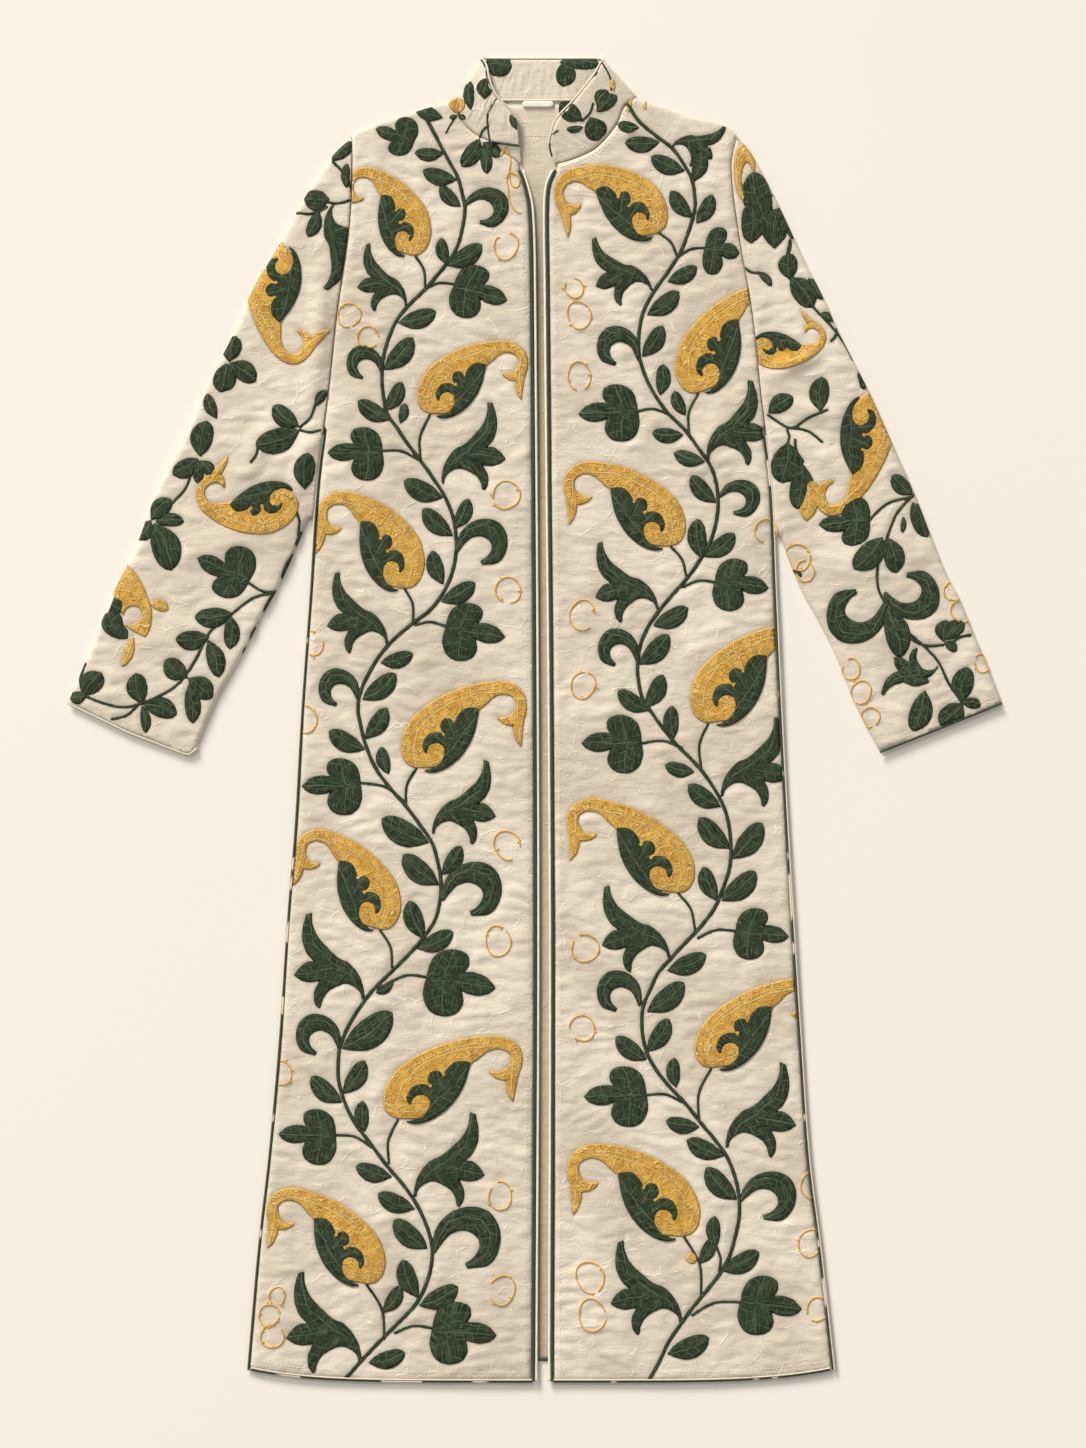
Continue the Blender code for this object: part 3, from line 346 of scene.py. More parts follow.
VINE_LEFT = (
    (82, 638), (90, 622), (103, 601), (120, 586), (137, 573), (148, 558), (157, 541), (160, 521),
    (159, 508), (153, 488), (145, 468), (132, 448), (118, 428), (108, 408), (104, 388), (104, 368),
    (108, 351), (117, 331), (132, 309), (150, 291), (163, 273), (175, 256), (181, 239), (183, 221),
    (182, 204), (177, 184), (168, 166), (153, 144), (137, 126), (123, 109), (113, 94), (106, 78), (103, 61),
    (103, 44), (107, 24), (115, 11), (127, -6), (142, -24), (157, -39), (170, -54), (183, -74), (191, -92),
    (195, -112), (196, -132), (194, -149), (188, -167), (180, -186), (167, -204), (153, -219), (137, -236),
    (123, -252), (115, -269), (108, -286), (107, -306), (110, -326), (118, -344), (133, -364), (150, -382),
    (165, -401), (180, -419), (192, -436), (200, -456), (204, -476), (204, -496), (200, -516), (194, -536),
    (185, -552), (172, -569), (158, -586), (145, -604), (133, -622), (125, -639), (115, -657),
)

# What grows on each front: shape, from x, y, to x, y, turn (its sign mirrors the shape, its size widens it)
MOTIFS_RIGHT = (
    ("trefoil", -120, 580, -160, 592, 1),
    ("leaf", -92, 603, -120, 615, 1),
    ("leaf", -91, 568, -120, 568, 1),
    ("leaf", -78, 541, -112, 550, 1),
    ("leaf", -74, 514, -95, 535, 1),
    ("leaf", -88, 456, -94, 483, 1),
    ("leaf", -88, 455, -53, 476, -1),
    ("crescent", -71, 515, -30, 503, 1),
    ("stem", -108, 433, -82, 437, 1),
    ("trefoil", -82, 435, -27, 420.7, 1),
    ("stem", -119, 464, -110, 434, 1),
    ("paisley", -123.3, 465, -196.8, 511.5, 1),
    ("palmette", -129, 415, -166.5, 478, 1),
    ("leaf", -137, 398, -99, 409, -1),
    ("leaf", -151, 351, -122, 383, -1),
    ("leaf", -149, 310, -133, 339, -1),
    ("leaf", -144, 301, -177, 320, 1),
    ("leaf", -135, 297, -130, 318, -1),
    ("crescent", -153, 347, -188.5, 358, -1),
    ("stem", -118, 262, -152, 270, -1),
    ("trefoil", -152, 268, -208, 268.3, -1),
    ("stem", -114, 259, -105, 306, 1),
    ("paisley", -105, 307, -10.1, 329.1, -0.9),
    ("palmette", -92, 237, -45, 319, -1),
    ("leaf", -92, 223, -131, 240, 1),
    ("leaf", -82, 185, -112, 212, 1),
    ("leaf", -80, 192, -66, 222, -1),
    ("crescent", -78.5, 169, -28, 174, 1),
    ("stem", -120, 96, -90, 95, 1),
    ("trefoil", -90, 93, -29.4, 84, 1),
    ("stem", -131, 133, -122, 99, 1),
    ("paisley", -130, 132, -222.4, 176, 1),
    ("palmette", -148, 76.4, -197.7, 149, 1),
    ("leaf", -92, 136, -103, 170, 1),
    ("leaf", -94, 119, -60, 138, -1),
    ("leaf", -155, 58, -122, 67, -1),
    ("leaf", -173, 21, -139, 47, -1),
    ("leaf", -170, -18, -148, 13, -1),
    ("leaf", -170, -29, -206, -10, 1),
    ("leaf", -146, -54, -154, -26, 1),
    ("crescent", -176.9, 20, -216.4, 33.5, -1),
    ("stem", -131, -80, -174, -62, -1),
    ("trefoil", -174, -64.5, -233.5, -64.9, -1),
    ("stem", -129, -83, -119, -48, 1),
    ("paisley", -118, -47.5, -10.1, -16.3, -0.88),
    ("palmette", -102, -113.4, -48.7, -39, -1),
    ("leaf", -106, -122, -153, -98, 1),
    ("leaf", -96, -164, -132, -134, 1),
    ("leaf", -93, -154, -74, -125, -1),
    ("leaf", -111, -218, -126, -180, 1),
    ("leaf", -118, -228, -82, -211, -1),
    ("leaf", -193, -328, -143, -292, -1),
    ("leaf", -141, -261, -159, -272, 1),
    ("leaf", -192, -373, -170, -340, -1),
    ("leaf", -193, -382, -224, -356, 1),
    ("leaf", -170, -411, -173, -380, 1),
    ("crescent", -93.3, -180, -34, -174, 1),
    ("stem", -147, -262, -108, -256, 1),
    ("trefoil", -109, -257.5, -39, -267, 1),
    ("stem", -155, -209, -143, -246, 1),
    ("paisley", -155, -209, -245.1, -156.1, 0.92),
    ("palmette", -172, -279, -226, -192, 1),
    ("crescent", -195.7, -328, -239, -314, -1),
    ("stem", -164, -426, -199, -414, -1),
    ("trefoil", -199, -416, -257, -413, -1),
    ("stem", -146, -442, -137, -399, 1),
    ("paisley", -136, -398.3, -17.3, -371.3, -0.8),
    ("palmette", -120, -475.7, -62.3, -391.5, -1),
    ("leaf", -143, -456, -179, -445, 1),
    ("leaf", -120, -488, -157, -473, 1),
    ("leaf", -107, -528, -141, -499, 1),
    ("leaf", -117, -577, -133, -539, 1),
    ("leaf", -116, -585, -77, -566, -1),
    ("leaf", -152, -592, -134, -565, -1),
    ("leaf", -167, -642, -130, -632, -1),
    ("crescent", -102, -532, -35, -522, 1),
    ("stem", -140, -612, -103, -607, 1),
    ("trefoil", -103.3, -609.3, -37.7, -614.3, 1),
    ("stem", -168, -564, -151, -618, 1),
    ("paisley", -168.3, -563.3, -270, -517.8, 0.86),
    ("palmette", -175, -642.3, -234, -550.7, 1),
)
MOTIFS_LEFT = (
    ("palmette", 136, 573, 191, 597, -1),
    ("leaf", 125, 579, 90, 578, 1),
    ("leaf", 150, 550, 116, 564, 1),
    ("leaf", 158, 539, 168, 570, -1),
    ("leaf", 157, 503, 136, 530, 1),
    ("leaf", 161, 497, 178, 526, -1),
    ("leaf", 132, 439, 162, 454, -1),
    ("leaf", 112, 406, 144, 429, -1),
    ("leaf", 107, 364, 128, 395, -1),
    ("leaf", 125, 325, 128, 357, -1),
    ("leaf", 151, 305, 139, 330, 1),
    ("leaf", 149, 286, 117, 288, 1),
    ("leaf", 170, 259, 139, 268, 1),
    ("leaf", 181, 218, 156, 245, 1),
    ("leaf", 167, 162, 162, 202, 1),
    ("leaf", 169, 164, 200, 187, -1),
    ("leaf", 118, 95, 153, 113, -1),
    ("leaf", 104, 56, 134, 86, -1),
    ("leaf", 111, 13, 128, 46, -1),
    ("leaf", 114, 10, 83, 30, 1),
    ("leaf", 139, -18, 137, 15, 1),
    ("leaf", 160, -51, 130, -44, 1),
    ("leaf", 186, -86, 153, -64, 1),
    ("leaf", 195, -128, 164, -97, 1),
    ("leaf", 197, -138, 227, -102, -1),
    ("leaf", 182, -180, 168, -146, 1),
    ("leaf", 186, -180, 221, -151, -1),
    ("leaf", 132, -250, 171, -234, -1),
    ("leaf", 112, -291, 149, -262, -1),
    ("leaf", 112, -331, 134, -298, -1),
    ("leaf", 112, -339, 81, -316, 1),
    ("leaf", 141, -367, 139, -337, 1),
    ("leaf", 165, -406, 131, -400, 1),
    ("leaf", 189, -435, 152, -419, 1),
    ("leaf", 202, -479, 171, -447, 1),
    ("leaf", 181, -526, 179, -495, 1),
    ("leaf", 164, -543, 178, -517, -1),
    ("leaf", 187, -550, 224, -531, -1),
    ("leaf", 132, -633, 174, -617, -1),
    ("stem", 143, 464, 170, 473, 1),
    ("trefoil", 169.3, 472.7, 205, 467.7, 1.4),
    ("stem", 124, 488, 142, 465, 1),
    ("paisley", 123.3, 487.7, 27.8, 491.2, 1.05),
    ("palmette", 116.7, 430.3, 59, 483.7, 1),
    ("crescent", 103.5, 361, 62, 375, -1),
    ("stem", 133, 307, 103, 310, -1),
    ("trefoil", 103, 310, 43, 307, -1),
    ("stem", 154, 288, 163, 327, 1),
    ("paisley", 163.3, 327.7, 254.5, 389.2, -0.88),
    ("palmette", 173, 260, 215, 341, -1),
    ("crescent", 183, 223, 222, 213, 1),
    ("stem", 148, 134, 180, 139, 1),
    ("trefoil", 179.3, 139, 234.3, 133.3, 1),
    ("stem", 136, 174, 151, 146, 1),
    ("paisley", 135, 174.3, 30.3, 205.2, 0.88),
    ("palmette", 122.7, 111, 65, 179.3, 1),
    ("crescent", 102, 59, 63, 74, -1),
    ("stem", 147, -27, 108, -22, -1),
    ("trefoil", 107, -22, 46, -22, -1),
    ("stem", 166, -46, 173, -3, 1),
    ("paisley", 174, -2.3, 282, 39.2, -0.9),
    ("palmette", 187, -76, 242, 4, -1),
    ("stem", 163, -217, 201, -210, 1),
    ("trefoil", 200, -210, 254, -215.7, 1),
    ("stem", 143, -172, 160, -209, 1),
    ("paisley", 141.7, -172.3, 31.7, -130, 0.82),
    ("palmette", 134.3, -237.3, 71.7, -164.7, 1),
    ("crescent", 105, -285, 62, -270, -1),
    ("stem", 147, -381, 112, -374, -1),
    ("trefoil", 111.7, -374, 48.3, -375.7, -1),
    ("stem", 164, -399, 176, -348, 1),
    ("paisley", 176.7, -347.3, 284.4, -308.1, -0.8),
    ("palmette", 192, -427, 248, -342, -1),
    ("crescent", 205, -480, 259, -485, 1),
    ("stem", 181, -525, 184, -550, 1),
    ("stem", 157, -594, 205, -581, 1),
    ("trefoil", 205, -581, 267.3, -588.3, 1),
    ("stem", 149, -516, 166, -575, 1),
    ("paisley", 148.3, -515.7, 34.3, -483.7, 0.9),
    ("palmette", 146, -602.3, 85.7, -519.7, 1),
    ("bud", 156.7, -537.3, 162.5, -537.3, 1),
)
SLEEVE_VINE_RIGHT = (
    ((-262, 128), (-282, 123), (-302, 108), (-325, 89), (-338, 64), (-355, 39), (-378, 24), (-408, 14), (-432, 18), (-452, 26)),
)
MOTIFS_SLEEVE_RIGHT = (
    ("leaf", -203, 560, -183, 579, 1.3),
    ("leaf", -188, 531, -188, 558, 0.7),
    ("stem", -182, 522, -202, 559, -1),
    ("stem", -182, 522, -215, 521, 1),
    ("leaf", -205, 522, -231, 522, 1.7),
    ("stem", -208, 514, -238, 508, 1),
    ("leaf", -216, 511, -227, 484, 1),
    ("palmette", -201, 517, -210, 431, 1),
    ("leaf", -306, 359, -299, 385, 1.6),
    ("leaf", -308, 358, -315, 329, 1.6),
    ("leaf", -306, 358, -279, 340, 1.3),
    ("leaf", -318, 302, -328, 327, 1),
    ("leaf", -236, 294, -262, 315, 1.2),
    ("leaf", -235, 291, -279, 275, 1.1),
    ("stem", -277, 276, -284, 259, 1),
    ("stem", -215, 291, -235, 291, 1),
    ("stem", -235, 294, -220, 316, -1),
    ("leaf", -220, 314, -208, 331, 1),
    ("leaf", -335, 264, -328, 300, 1.3),
    ("leaf", -337, 263, -362, 246, 1.3),
    ("leaf", -337, 262, -338, 238, 1),
    ("leaf", -335, 261, -322, 245, 1.3),
    ("stem", -343, 256, -363, 218, 1),
    ("stem", -242, 216, -237, 186, 1),
    ("leaf", -230, 231, -227, 268, 1.2),
    ("leaf", -232, 191, -239, 175, 0.8),
    ("leaf", -242, 168, -245, 160, 0.9),
    ("leaf", -245, 164, -253, 142, 0.7),
    ("leaf", -259, 131, -271, 108, 0.7),
    ("leaf", -276, 99, -285, 81, 0.7),
    ("leaf", -286, 77, -292, 67, 0.8),
    ("trefoil", -285, 141, -338, 163, 1),
    ("stem", -259, 129, -286, 138, 1),
    ("leaf", -302, 108, -340, 103, 1.1),
    ("leaf", -305, 106, -305, 72, 1),
    ("leaf", -325, 84, -359, 81, 1.2),
    ("leaf", -327, 81, -316, 44, 1),
    ("leaf", -347, 43, -370, 61, 1.5),
    ("leaf", -347, 43, -323, 23, 1.4),
    ("leaf", -347, 36, -342, -2, 0.9),
    ("leaf", -393, 17, -399, 48, 1.4),
    ("leaf", -392, 17, -358, 7, 1.2),
    ("leaf", -393, 16, -389, -12, 0.8),
    ("stem", -397, 16, -423, 2, 1),
    ("leaf", -452, 26, -433, 48, 1.6),
    ("stem", -452, 26, -450, 57, 1),
    ("leaf", -448, 26, -466, 23, 1.5),
    ("leaf", -384, 201, -364, 222, 1.3),
    ("leaf", -384, 201, -397, 181, 1.4),
    ("leaf", -380, 199, -351, 200, 1),
    ("leaf", -381, 198, -363, 151, 1.2),
    ("yellow hook", -413, 103, -407.5, 156, 1),
    ("lobes", -413, 103, -407.5, 156, 1),
    ("yellow leaf", -386, 118, -366, 112, 1.2),
    ("yellow leaf", -402, 86, -413, 54, 0.6),
    ("paisley", -252, 478, -208, 382.7, 0.85),
    ("paisley", -239, 224, -314, 261.2, -1.05),
)
SLEEVE_VINE_LEFT = (
    ((378, 226), (362, 208), (352, 184), (343, 158), (343, 134), (350, 118), (362, 98), (382, 81), (402, 61), (413, 39), (427, 18)),
    ((255, 481), (252, 466)),
    ((278, 414), (295, 396), (310, 378), (318, 362)),
    ((233, 306), (255, 293), (273, 303), (292, 311)),
)
MOTIFS_SLEEVE_LEFT = (
    ("leaf", 215, 523, 216, 478, 1.1),
    ("leaf", 233, 496, 218, 549, 1.1),
    ("leaf", 223, 523, 238, 526, 0.7),
    ("leaf", 239, 472, 244, 513, 1.4),
    ("leaf", 248, 506, 258, 482, 0.8),
    ("stem", 255, 481, 252, 466, 1),
    ("leaf", 255, 441, 254, 468, 1.5),
    ("leaf", 255, 444, 278, 414, 1.3),
    ("leaf", 273, 443, 288, 422, 1.1),
    ("leaf", 284, 408, 300, 400, 1),
    ("stem", 302, 392, 296, 380, 1),
    ("leaf", 323, 353, 329, 331, 0.8),
    ("stem", 210, 453, 225, 448, -1),
    ("leaf", 222, 450, 237, 435, 0.8),
    ("leaf", 233, 308, 258, 324, 1.3),
    ("leaf", 285, 309, 287, 344, 1.2),
    ("stem", 255, 293, 287, 279, 1),
    ("stem", 252, 291, 253, 278, 1),
    ("leaf", 253, 279, 247, 238, 1.6),
    ("leaf", 267, 258, 262, 212, 1.1),
    ("stem", 260, 281, 268, 260, -1),
    ("yellow leaf", 270, 251, 271.7, 200, 0.8),
    ("stem", 377, 224, 334, 201, -1),
    ("trefoil", 335, 201, 283.3, 196, 1),
    ("leaf", 378, 226, 357, 246, 1.2),
    ("leaf", 377, 219, 392, 184, 1.2),
    ("leaf", 368, 206, 367, 188, 0.7),
    ("leaf", 348, 184, 319, 152, 1.2),
    ("leaf", 352, 184, 361, 148, 1.2),
    ("crescent", 349, 129, 402, 136, -1),
    ("crescent", 351, 119, 292, 109, 1),
    ("leaf", 352, 114, 366, 64, 1),
    ("stem", 372, 84, 408, 76, -1),
    ("leaf", 408, 79, 411, 101, 1.6),
    ("leaf", 409, 81, 429, 99, 1.3),
    ("leaf", 409, 79, 422, 70, 1.4),
    ("stem", 415, 76, 435, 86, 1),
    ("palmette", 403, 55, 347, 26, -1),
    ("leaf", 395, 39, 363, 51, 1),
    ("leaf", 390, 31, 378, -10, 1.1),
    ("leaf", 427, 19, 432, 54, 1.3),
    ("leaf", 428, 18, 405, -4, 1.6),
    ("leaf", 427, 18, 446, 16, 1.3),
    ("leaf", 257, 152, 267, 144, 0.8),
    ("yellow crescent", 213, 517, 213, 576, 0.4),
    ("paisley", 217, 376, 271.2, 408.4, 1),
    ("paisley", 331, 328, 268.5, 235.2, -0.75),
)

# What is sewn on the collar and beside it, in the same columns
MOTIFS_COLLAR = (
    ("leaf", -52, 656, -23, 655, 1.8),
    ("leaf", 30, 661, 29, 634.5, 1.6),
    ("leaf", 24, 659, 64, 657.5, 0.9),
    ("stem", -53, 661, -48, 645, 1),
    ("stem", 63, 655, 58, 644, 1),
    ("leaf", -64, 610, -65, 640, 0.8),
    ("leaf", -51, 621, -47, 643, 1.6),
    ("yellow leaf", -78.3, 606.6, -76, 624, 2),
    ("leaf", -78, 606, -86, 603, 1.4),
    ("leaf", -78, 606, -69, 602, 1.2),
    ("leaf", -18, 590, -23, 608, 0.9),
    ("stem", -55, 584, -47, 595, 1),
    ("leaf", -55, 583, -73, 554, 1.1),
    ("leaf", -53, 576, -48, 547, 0.9),
    ("leaf", -53, 579, -35, 564, 1.2),
    ("leaf", 48, 600, 25, 618, 1.3),
    ("leaf", 49, 594, 31, 591, 0.9),
    ("leaf", 55, 604, 63, 580, 1.9),
    ("leaf", 61, 615.5, 73, 630.5, 1.6),
    ("leaf", 61, 608.5, 82, 625.5, 1.2),
    ("stem", 47, 600, 58, 617, -1),
    ("yellow leaf", 79.4, 629, 77, 643, 1),
    ("leaf", 105, 593, 82, 597, 1.1),
    ("yellow leaf", 93, 607, 97, 623, 0.7),
    ("yellow leaf", 110, 610, 111, 620, 0.9),
)
COLLAR_STEMS = (
    ((65, 662), (75, 644), (76, 631)),
    ((-89, 588), (-83, 599), (-78, 605)),
    ((-39, 621), (-47, 607), (-47, 593), (-44, 580), (-30, 577), (-16, 575)),
    ((23, 590), (16, 585), (15, 575), (17, 566)),
)

# Stitched rings: x, y, radius
RINGS_RIGHT = (
    (-29, 475, 12),
    (-29, 226, 13),
    (-27, 131, 12),
    (-28, -124, 13),
    (-37, -220, 13),
    (-35, -475, 12),
    (-33, -569, 13),
    (-186, 406, 11),
    (-167, 384, 10),
    (-223, 78, 11),
    (-230, 2, 12),
    (-253, -352, 10),
    (-258, -575, 8),
    (-266, -594, 10),
    (-263, -615, 11),
)
RINGS_LEFT = (
    (39, 433, 9),
    (44, 406, 12),
    (44, 345, 12),
    (47, 106, 13),
    (48, 36, 12),
    (50, -227, 13),
    (47, -307, 12),
    (55, -556, 14),
    (57, -594, 14),
    (276, -464, 11),
    (275, -522, 12),
    (283, -588, 11),
    (231, 190, 11),
)
RINGS_SLEEVE_LEFT = (
    (263, 164, 12),
    (270, 150, 9),
    (316, 52, 9),
    (326, 29, 10),
    (335, 4, 9),
    (418, 130, 9),
    (426, 110, 10),
    (447, 58, 8),
)
STRINGS_RIGHT = (
    ((-29, 573.5), (-32, 569), (-34, 566)),
    ((-28.5, 573.5), (-26, 567), (-24.5, 559), (-25.5, 553), (-27, 546.5), (-29, 544)),
    (
        (-26, 549), (-22, 547.5), (-17.5, 545.5), (-15.5, 541), (-16.5, 535.5), (-19.5, 533.5),
        (-23, 535.5), (-25, 541), (-26, 546.5),
    ),
    ((-27.5, 546), (-28.5, 540), (-27, 534), (-26, 522), (-21, 511.5), (-15, 508)),
)

SHAPES = {
    "trefoil": (TREFOIL_OUTLINE, TREFOIL_SPINES),
    "crescent": (CRESCENT_OUTLINE, CRESCENT_SPINES),
    "palmette": (PALMETTE_OUTLINE, PALMETTE_SPINES),
    "hook": (CUFF_PAISLEY, (((0, -0.5), (0.4, -0.2), (0.95, 0)),)),
    "lobes": (CUFF_GREEN, (((-0.25, 0.1), (0.1, 0.3), (0.4, 0.1)),)),
}
# A leaf's width at its widest, as a part of its length
LEAF_WIDTH = 0.49
# Between these heights the lining passes from its open colour at the neck to the shade between the fronts
GAP_SHADE_LOW = 430.0
GAP_SHADE_HIGH = 575.0
# Across this width from the middle, the painted shadow that the right front's edge casts on the lining lightens
GAP_SHADE_WIDTH = 13.0
LEAF_BEND = 0.06
STEM_BEND = 0.12
VINE_WIDTH = 4.2
STEM_WIDTH = 3.2
SHAPE_STEP = 1.9
INSET = 1.0
INNER_STEP = 2.5
CLOTH_STEP = 3.0
EDGE_STEP = 5.0
WELD = 0.02


def slope(rows, i, column):
    """How fast a column changes at a row of a table, by the table's first column."""
    low = max(i - 1, 0)
    high = min(i + 1, len(rows) - 1)
    return (rows[high][column] - rows[low][column]) / (rows[high][0] - rows[low][0])


def read(rows, at, column):
    """A column's value at any value of the first column, on a smooth curve through the rows."""
    i = 0
    while i < len(rows) - 2 and at > rows[i + 1][0]:
        i += 1
    span = rows[i + 1][0] - rows[i][0]
    t = min(max((at - rows[i][0]) / span, 0.0), 1.0)
    a, b = rows[i][column], rows[i + 1][column]
    da = slope(rows, i, column) * span
    db = slope(rows, i + 1, column) * span
    return (
        a * (2 * t**3 - 3 * t**2 + 1)
        + da * (t**3 - 2 * t**2 + t)
        + b * (3 * t**2 - 2 * t**3)
        + db * (t**3 - t**2)
    )


def smooth(rows, count):
    """Points, evenly spread by row number, on a Catmull-Rom curve through the rows of a table."""
    found = []
    for k in range(count):
        at = k * (len(rows) - 1) / (count - 1)
        i = min(int(at), len(rows) - 2)
        t = at - i
        before, after = max(i - 1, 0), min(i + 2, len(rows) - 1)
        point = []
        for p, a, b, q in zip(rows[before], rows[i], rows[i + 1], rows[after]):
            da, db = (b - p) / 2, (q - a) / 2
            point.append(
                a + t * da + t**2 * (3 * (b - a) - 2 * da - db) + t**3 * (2 * (a - b) + da + db)
            )
        found.append(tuple(point))
    return found


def length_of(points):
    return sum(math.dist(a, b) for a, b in zip(points, points[1:]))


def evenly(points, step):
    """Points at even steps along a line of points."""
    sizes = [math.dist(a, b) for a, b in zip(points, points[1:])]
    total = sum(sizes)
    count = max(1, round(total / step))
    found = []
    i, passed = 0, 0.0
    for k in range(count + 1):
        want = total * k / count
        while i < len(sizes) - 1 and passed + sizes[i] < want:
            passed += sizes[i]
            i += 1
        t = (want - passed) / sizes[i] if sizes[i] else 0.0
        found.append(tuple(p + (q - p) * t for p, q in zip(points[i], points[i + 1])))
    return found


def band(rows, step=SHAPE_STEP):
    """The outline round a spine, with round ends. Columns: x, y, half width."""
    spine = evenly(smooth(rows, 12 * len(rows)), step)
    count = len(spine)
    left, right, ends = [], [], []
    for i, (x, y, half) in enumerate(spine):
        a, b = spine[max(i - 1, 0)], spine[min(i + 1, count - 1)]
        angle = math.atan2(b[1] - a[1], b[0] - a[0])
        half = max(half, 0.4)
        nx, ny = -math.sin(angle) * half, math.cos(angle) * half
        left.append((x + nx, y + ny))
        right.append((x - nx, y - ny))
        if i in (0, count - 1):
            turns = [60, 30, 0, -30, -60] if half > 1 else [0]
            away = angle if i else angle + math.pi
            for turn in turns:
                at = away + math.radians(turn)
                ends.append((x + half * math.cos(at), y + half * math.sin(at)))
    first = len(ends) // 2 if len(ends) in (2, 10) else (5 if spine[0][2] > 1 else 1)
    return left + ends[first:] + right[::-1] + ends[:first]


def outline_of(rows, start, end, turn):
    """A closed outline from its table, smooth between its corners, put on an axis between two points."""
    placed = on_axis([(x, y, corner) for x, y, corner in rows], start, end, turn)
    size = math.dist(start, end)
    corners = [i for i, row in enumerate(rows) if row[2]]
    loop = []
    for i, first in enumerate(corners):
        last = corners[(i + 1) % len(corners)]
        count = (last - first) % len(rows) or len(rows)
        part = [placed[(first + k) % len(rows)][:2] for k in range(count + 1)]
        loop += evenly(smooth(part, 10 * len(part)), min(SHAPE_STEP, size / 14))[:-1]
    return loop


def leaf(start, end, turn):
    """A leaf, widest past its middle, a little bent and blunt at its tip. The size of turn widens it."""
    sx, sy = start
    dx, dy = end[0] - sx, end[1] - sy
    count = max(8, round(math.hypot(dx, dy) / SHAPE_STEP))
    left, right = [], []
    for i in range(count + 1):
        t = i / count
        half = LEAF_WIDTH / 2 * abs(turn) * read(LEAF_OUTLINE, t, 1)
        bend = LEAF_BEND * math.copysign(1, turn) * math.sin(math.pi * t)
        left.append((sx + dx * t - dy * (bend + half), sy + dy * t + dx * (bend + half)))
        right.append((sx + dx * t - dy * (bend - half), sy + dy * t + dx * (bend - half)))
    tip = (sx + dx * 1.015, sy + dy * 1.015)
    return left + [tip] + right[::-1]


def disc(x, y, radius):
    count = max(12, round(math.tau * radius / SHAPE_STEP))
    turns = [math.tau * k / count for k in range(count)]
    return [(x + radius * math.cos(a), y + radius * math.sin(a)) for a in turns]


def on_axis(rows, start, end, turn):
    """A table of x, y and half width, from 0 to 1 along its axis, put between two points."""
    dx, dy = end[0] - start[0], end[1] - start[1]
    size = math.hypot(dx, dy)
    placed = []
    for x, y, half in rows:
        placed.append((start[0] + dx * x - dy * y * turn, start[1] + dy * x + dx * y * turn, half * size))
    return placed


class Motif:
    """One embroidered shape: its overlapping outlines, its colour, its spines and its height."""

    def __init__(self, colour, loops, spines, lift=0.0):
        self.colour = colour
        self.loops = loops
        self.spines = spines
        self.lift = lift


def spine_of(rows):
    return [p[:2] for p in evenly(smooth(rows, 8 * len(rows)), 4.0)]


def shape_of(outline, spines, start, end, turn):
    """An outline and its spines on one axis."""
    lines = [[p[:2] for p in on_axis([(*p, 0) for p in spine], start, end, turn)] for spine in spines]
    return [outline_of(outline, start, end, turn)], [evenly(line, 3.0) for line in lines]


def motifs_of(shape, start, end, turn):
    """The embroidered shapes of one row of a table. They are green unless the row says yellow."""
    colour = "yellow" if shape.startswith("yellow ") else "green"
    shape = shape.split()[-1]
    if shape == "leaf":
        bend = on_axis(((0, 0, 0), (0.5, LEAF_BEND, 0), (1, 0, 0)), start, end, math.copysign(1, turn))
        return [Motif(colour, [leaf(start, end, turn)], [[p[:2] for p in smooth(bend, 9)]])]
    if shape == "stem":
        middle = on_axis(((0.5, STEM_BEND, 0),), start, end, turn)[0][:2]
        return [stem([start, middle, end], STEM_WIDTH)]
    if shape == "bud":
        return [Motif("yellow", [disc(*start, math.dist(start, end))], [[start, end]])]
    if shape == "paisley":
        return [
            Motif("yellow", *shape_of(PAISLEY_OUTLINE, PAISLEY_SPINES, start, end, turn)),
            Motif("inner", *shape_of(PAISLEY_GREEN, GREEN_SPINES, start, end, turn), 0.7),
        ]
    outline, spines = SHAPES[shape]
    return [Motif(colour, *shape_of(outline, spines, start, end, turn))]


def stem(points, width):
    rows = [(x, y, width / 2) for x, y in points]
    return Motif("green", [band(rows)], [spine_of(rows)], -0.1)


def single_motifs(rows, vines=(), width=STEM_WIDTH):
    found = [stem(line, width) for line in vines]
    for shape, x0, y0, x1, y1, turn in rows:
        found += motifs_of(shape, (x0, y0), (x1, y1), turn)
    return found


def windings(loop, points):
    """How often a loop runs round each point."""
    starts = np.asarray(loop)
    ends = np.roll(starts, -1, axis=0)
    x, y = points[:, :1], points[:, 1:2]
    up = (starts[:, 1] <= y) & (ends[:, 1] > y)
    down = (starts[:, 1] > y) & (ends[:, 1] <= y)
    across = (ends[:, 0] - starts[:, 0]) * (y - starts[:, 1]) - (x - starts[:, 0]) * (ends[:, 1] - starts[:, 1])
    return (up & (across > 0)).sum(axis=1) - (down & (across < 0)).sum(axis=1)


def inside_any(loops, points):
    found = np.zeros(len(points), dtype=bool)
    for loop in loops:
        outline = np.asarray(loop)
        low, high = outline.min(axis=0), outline.max(axis=0)
        near = np.flatnonzero(((points > low) & (points < high)).all(axis=1))
        if len(near):
            found[near[windings(loop, points[near]) != 0]] = True
    return found


def to_sides(points, starts, ends):
    """The distance from each point to the nearest of some sides."""
    found = np.empty(len(points))
    side = ends - starts
    size = np.maximum((side**2).sum(axis=1), 1e-9)
    for first in range(0, len(points), 1500):
        part = points[first:first + 1500]
        offset = part[:, None, :] - starts[None]
        t = np.clip((offset * side).sum(axis=2) / size, 0, 1)
        gap = offset - t[..., None] * side
        found[first:first + 1500] = np.sqrt((gap**2).sum(axis=2).min(axis=1))
    return found


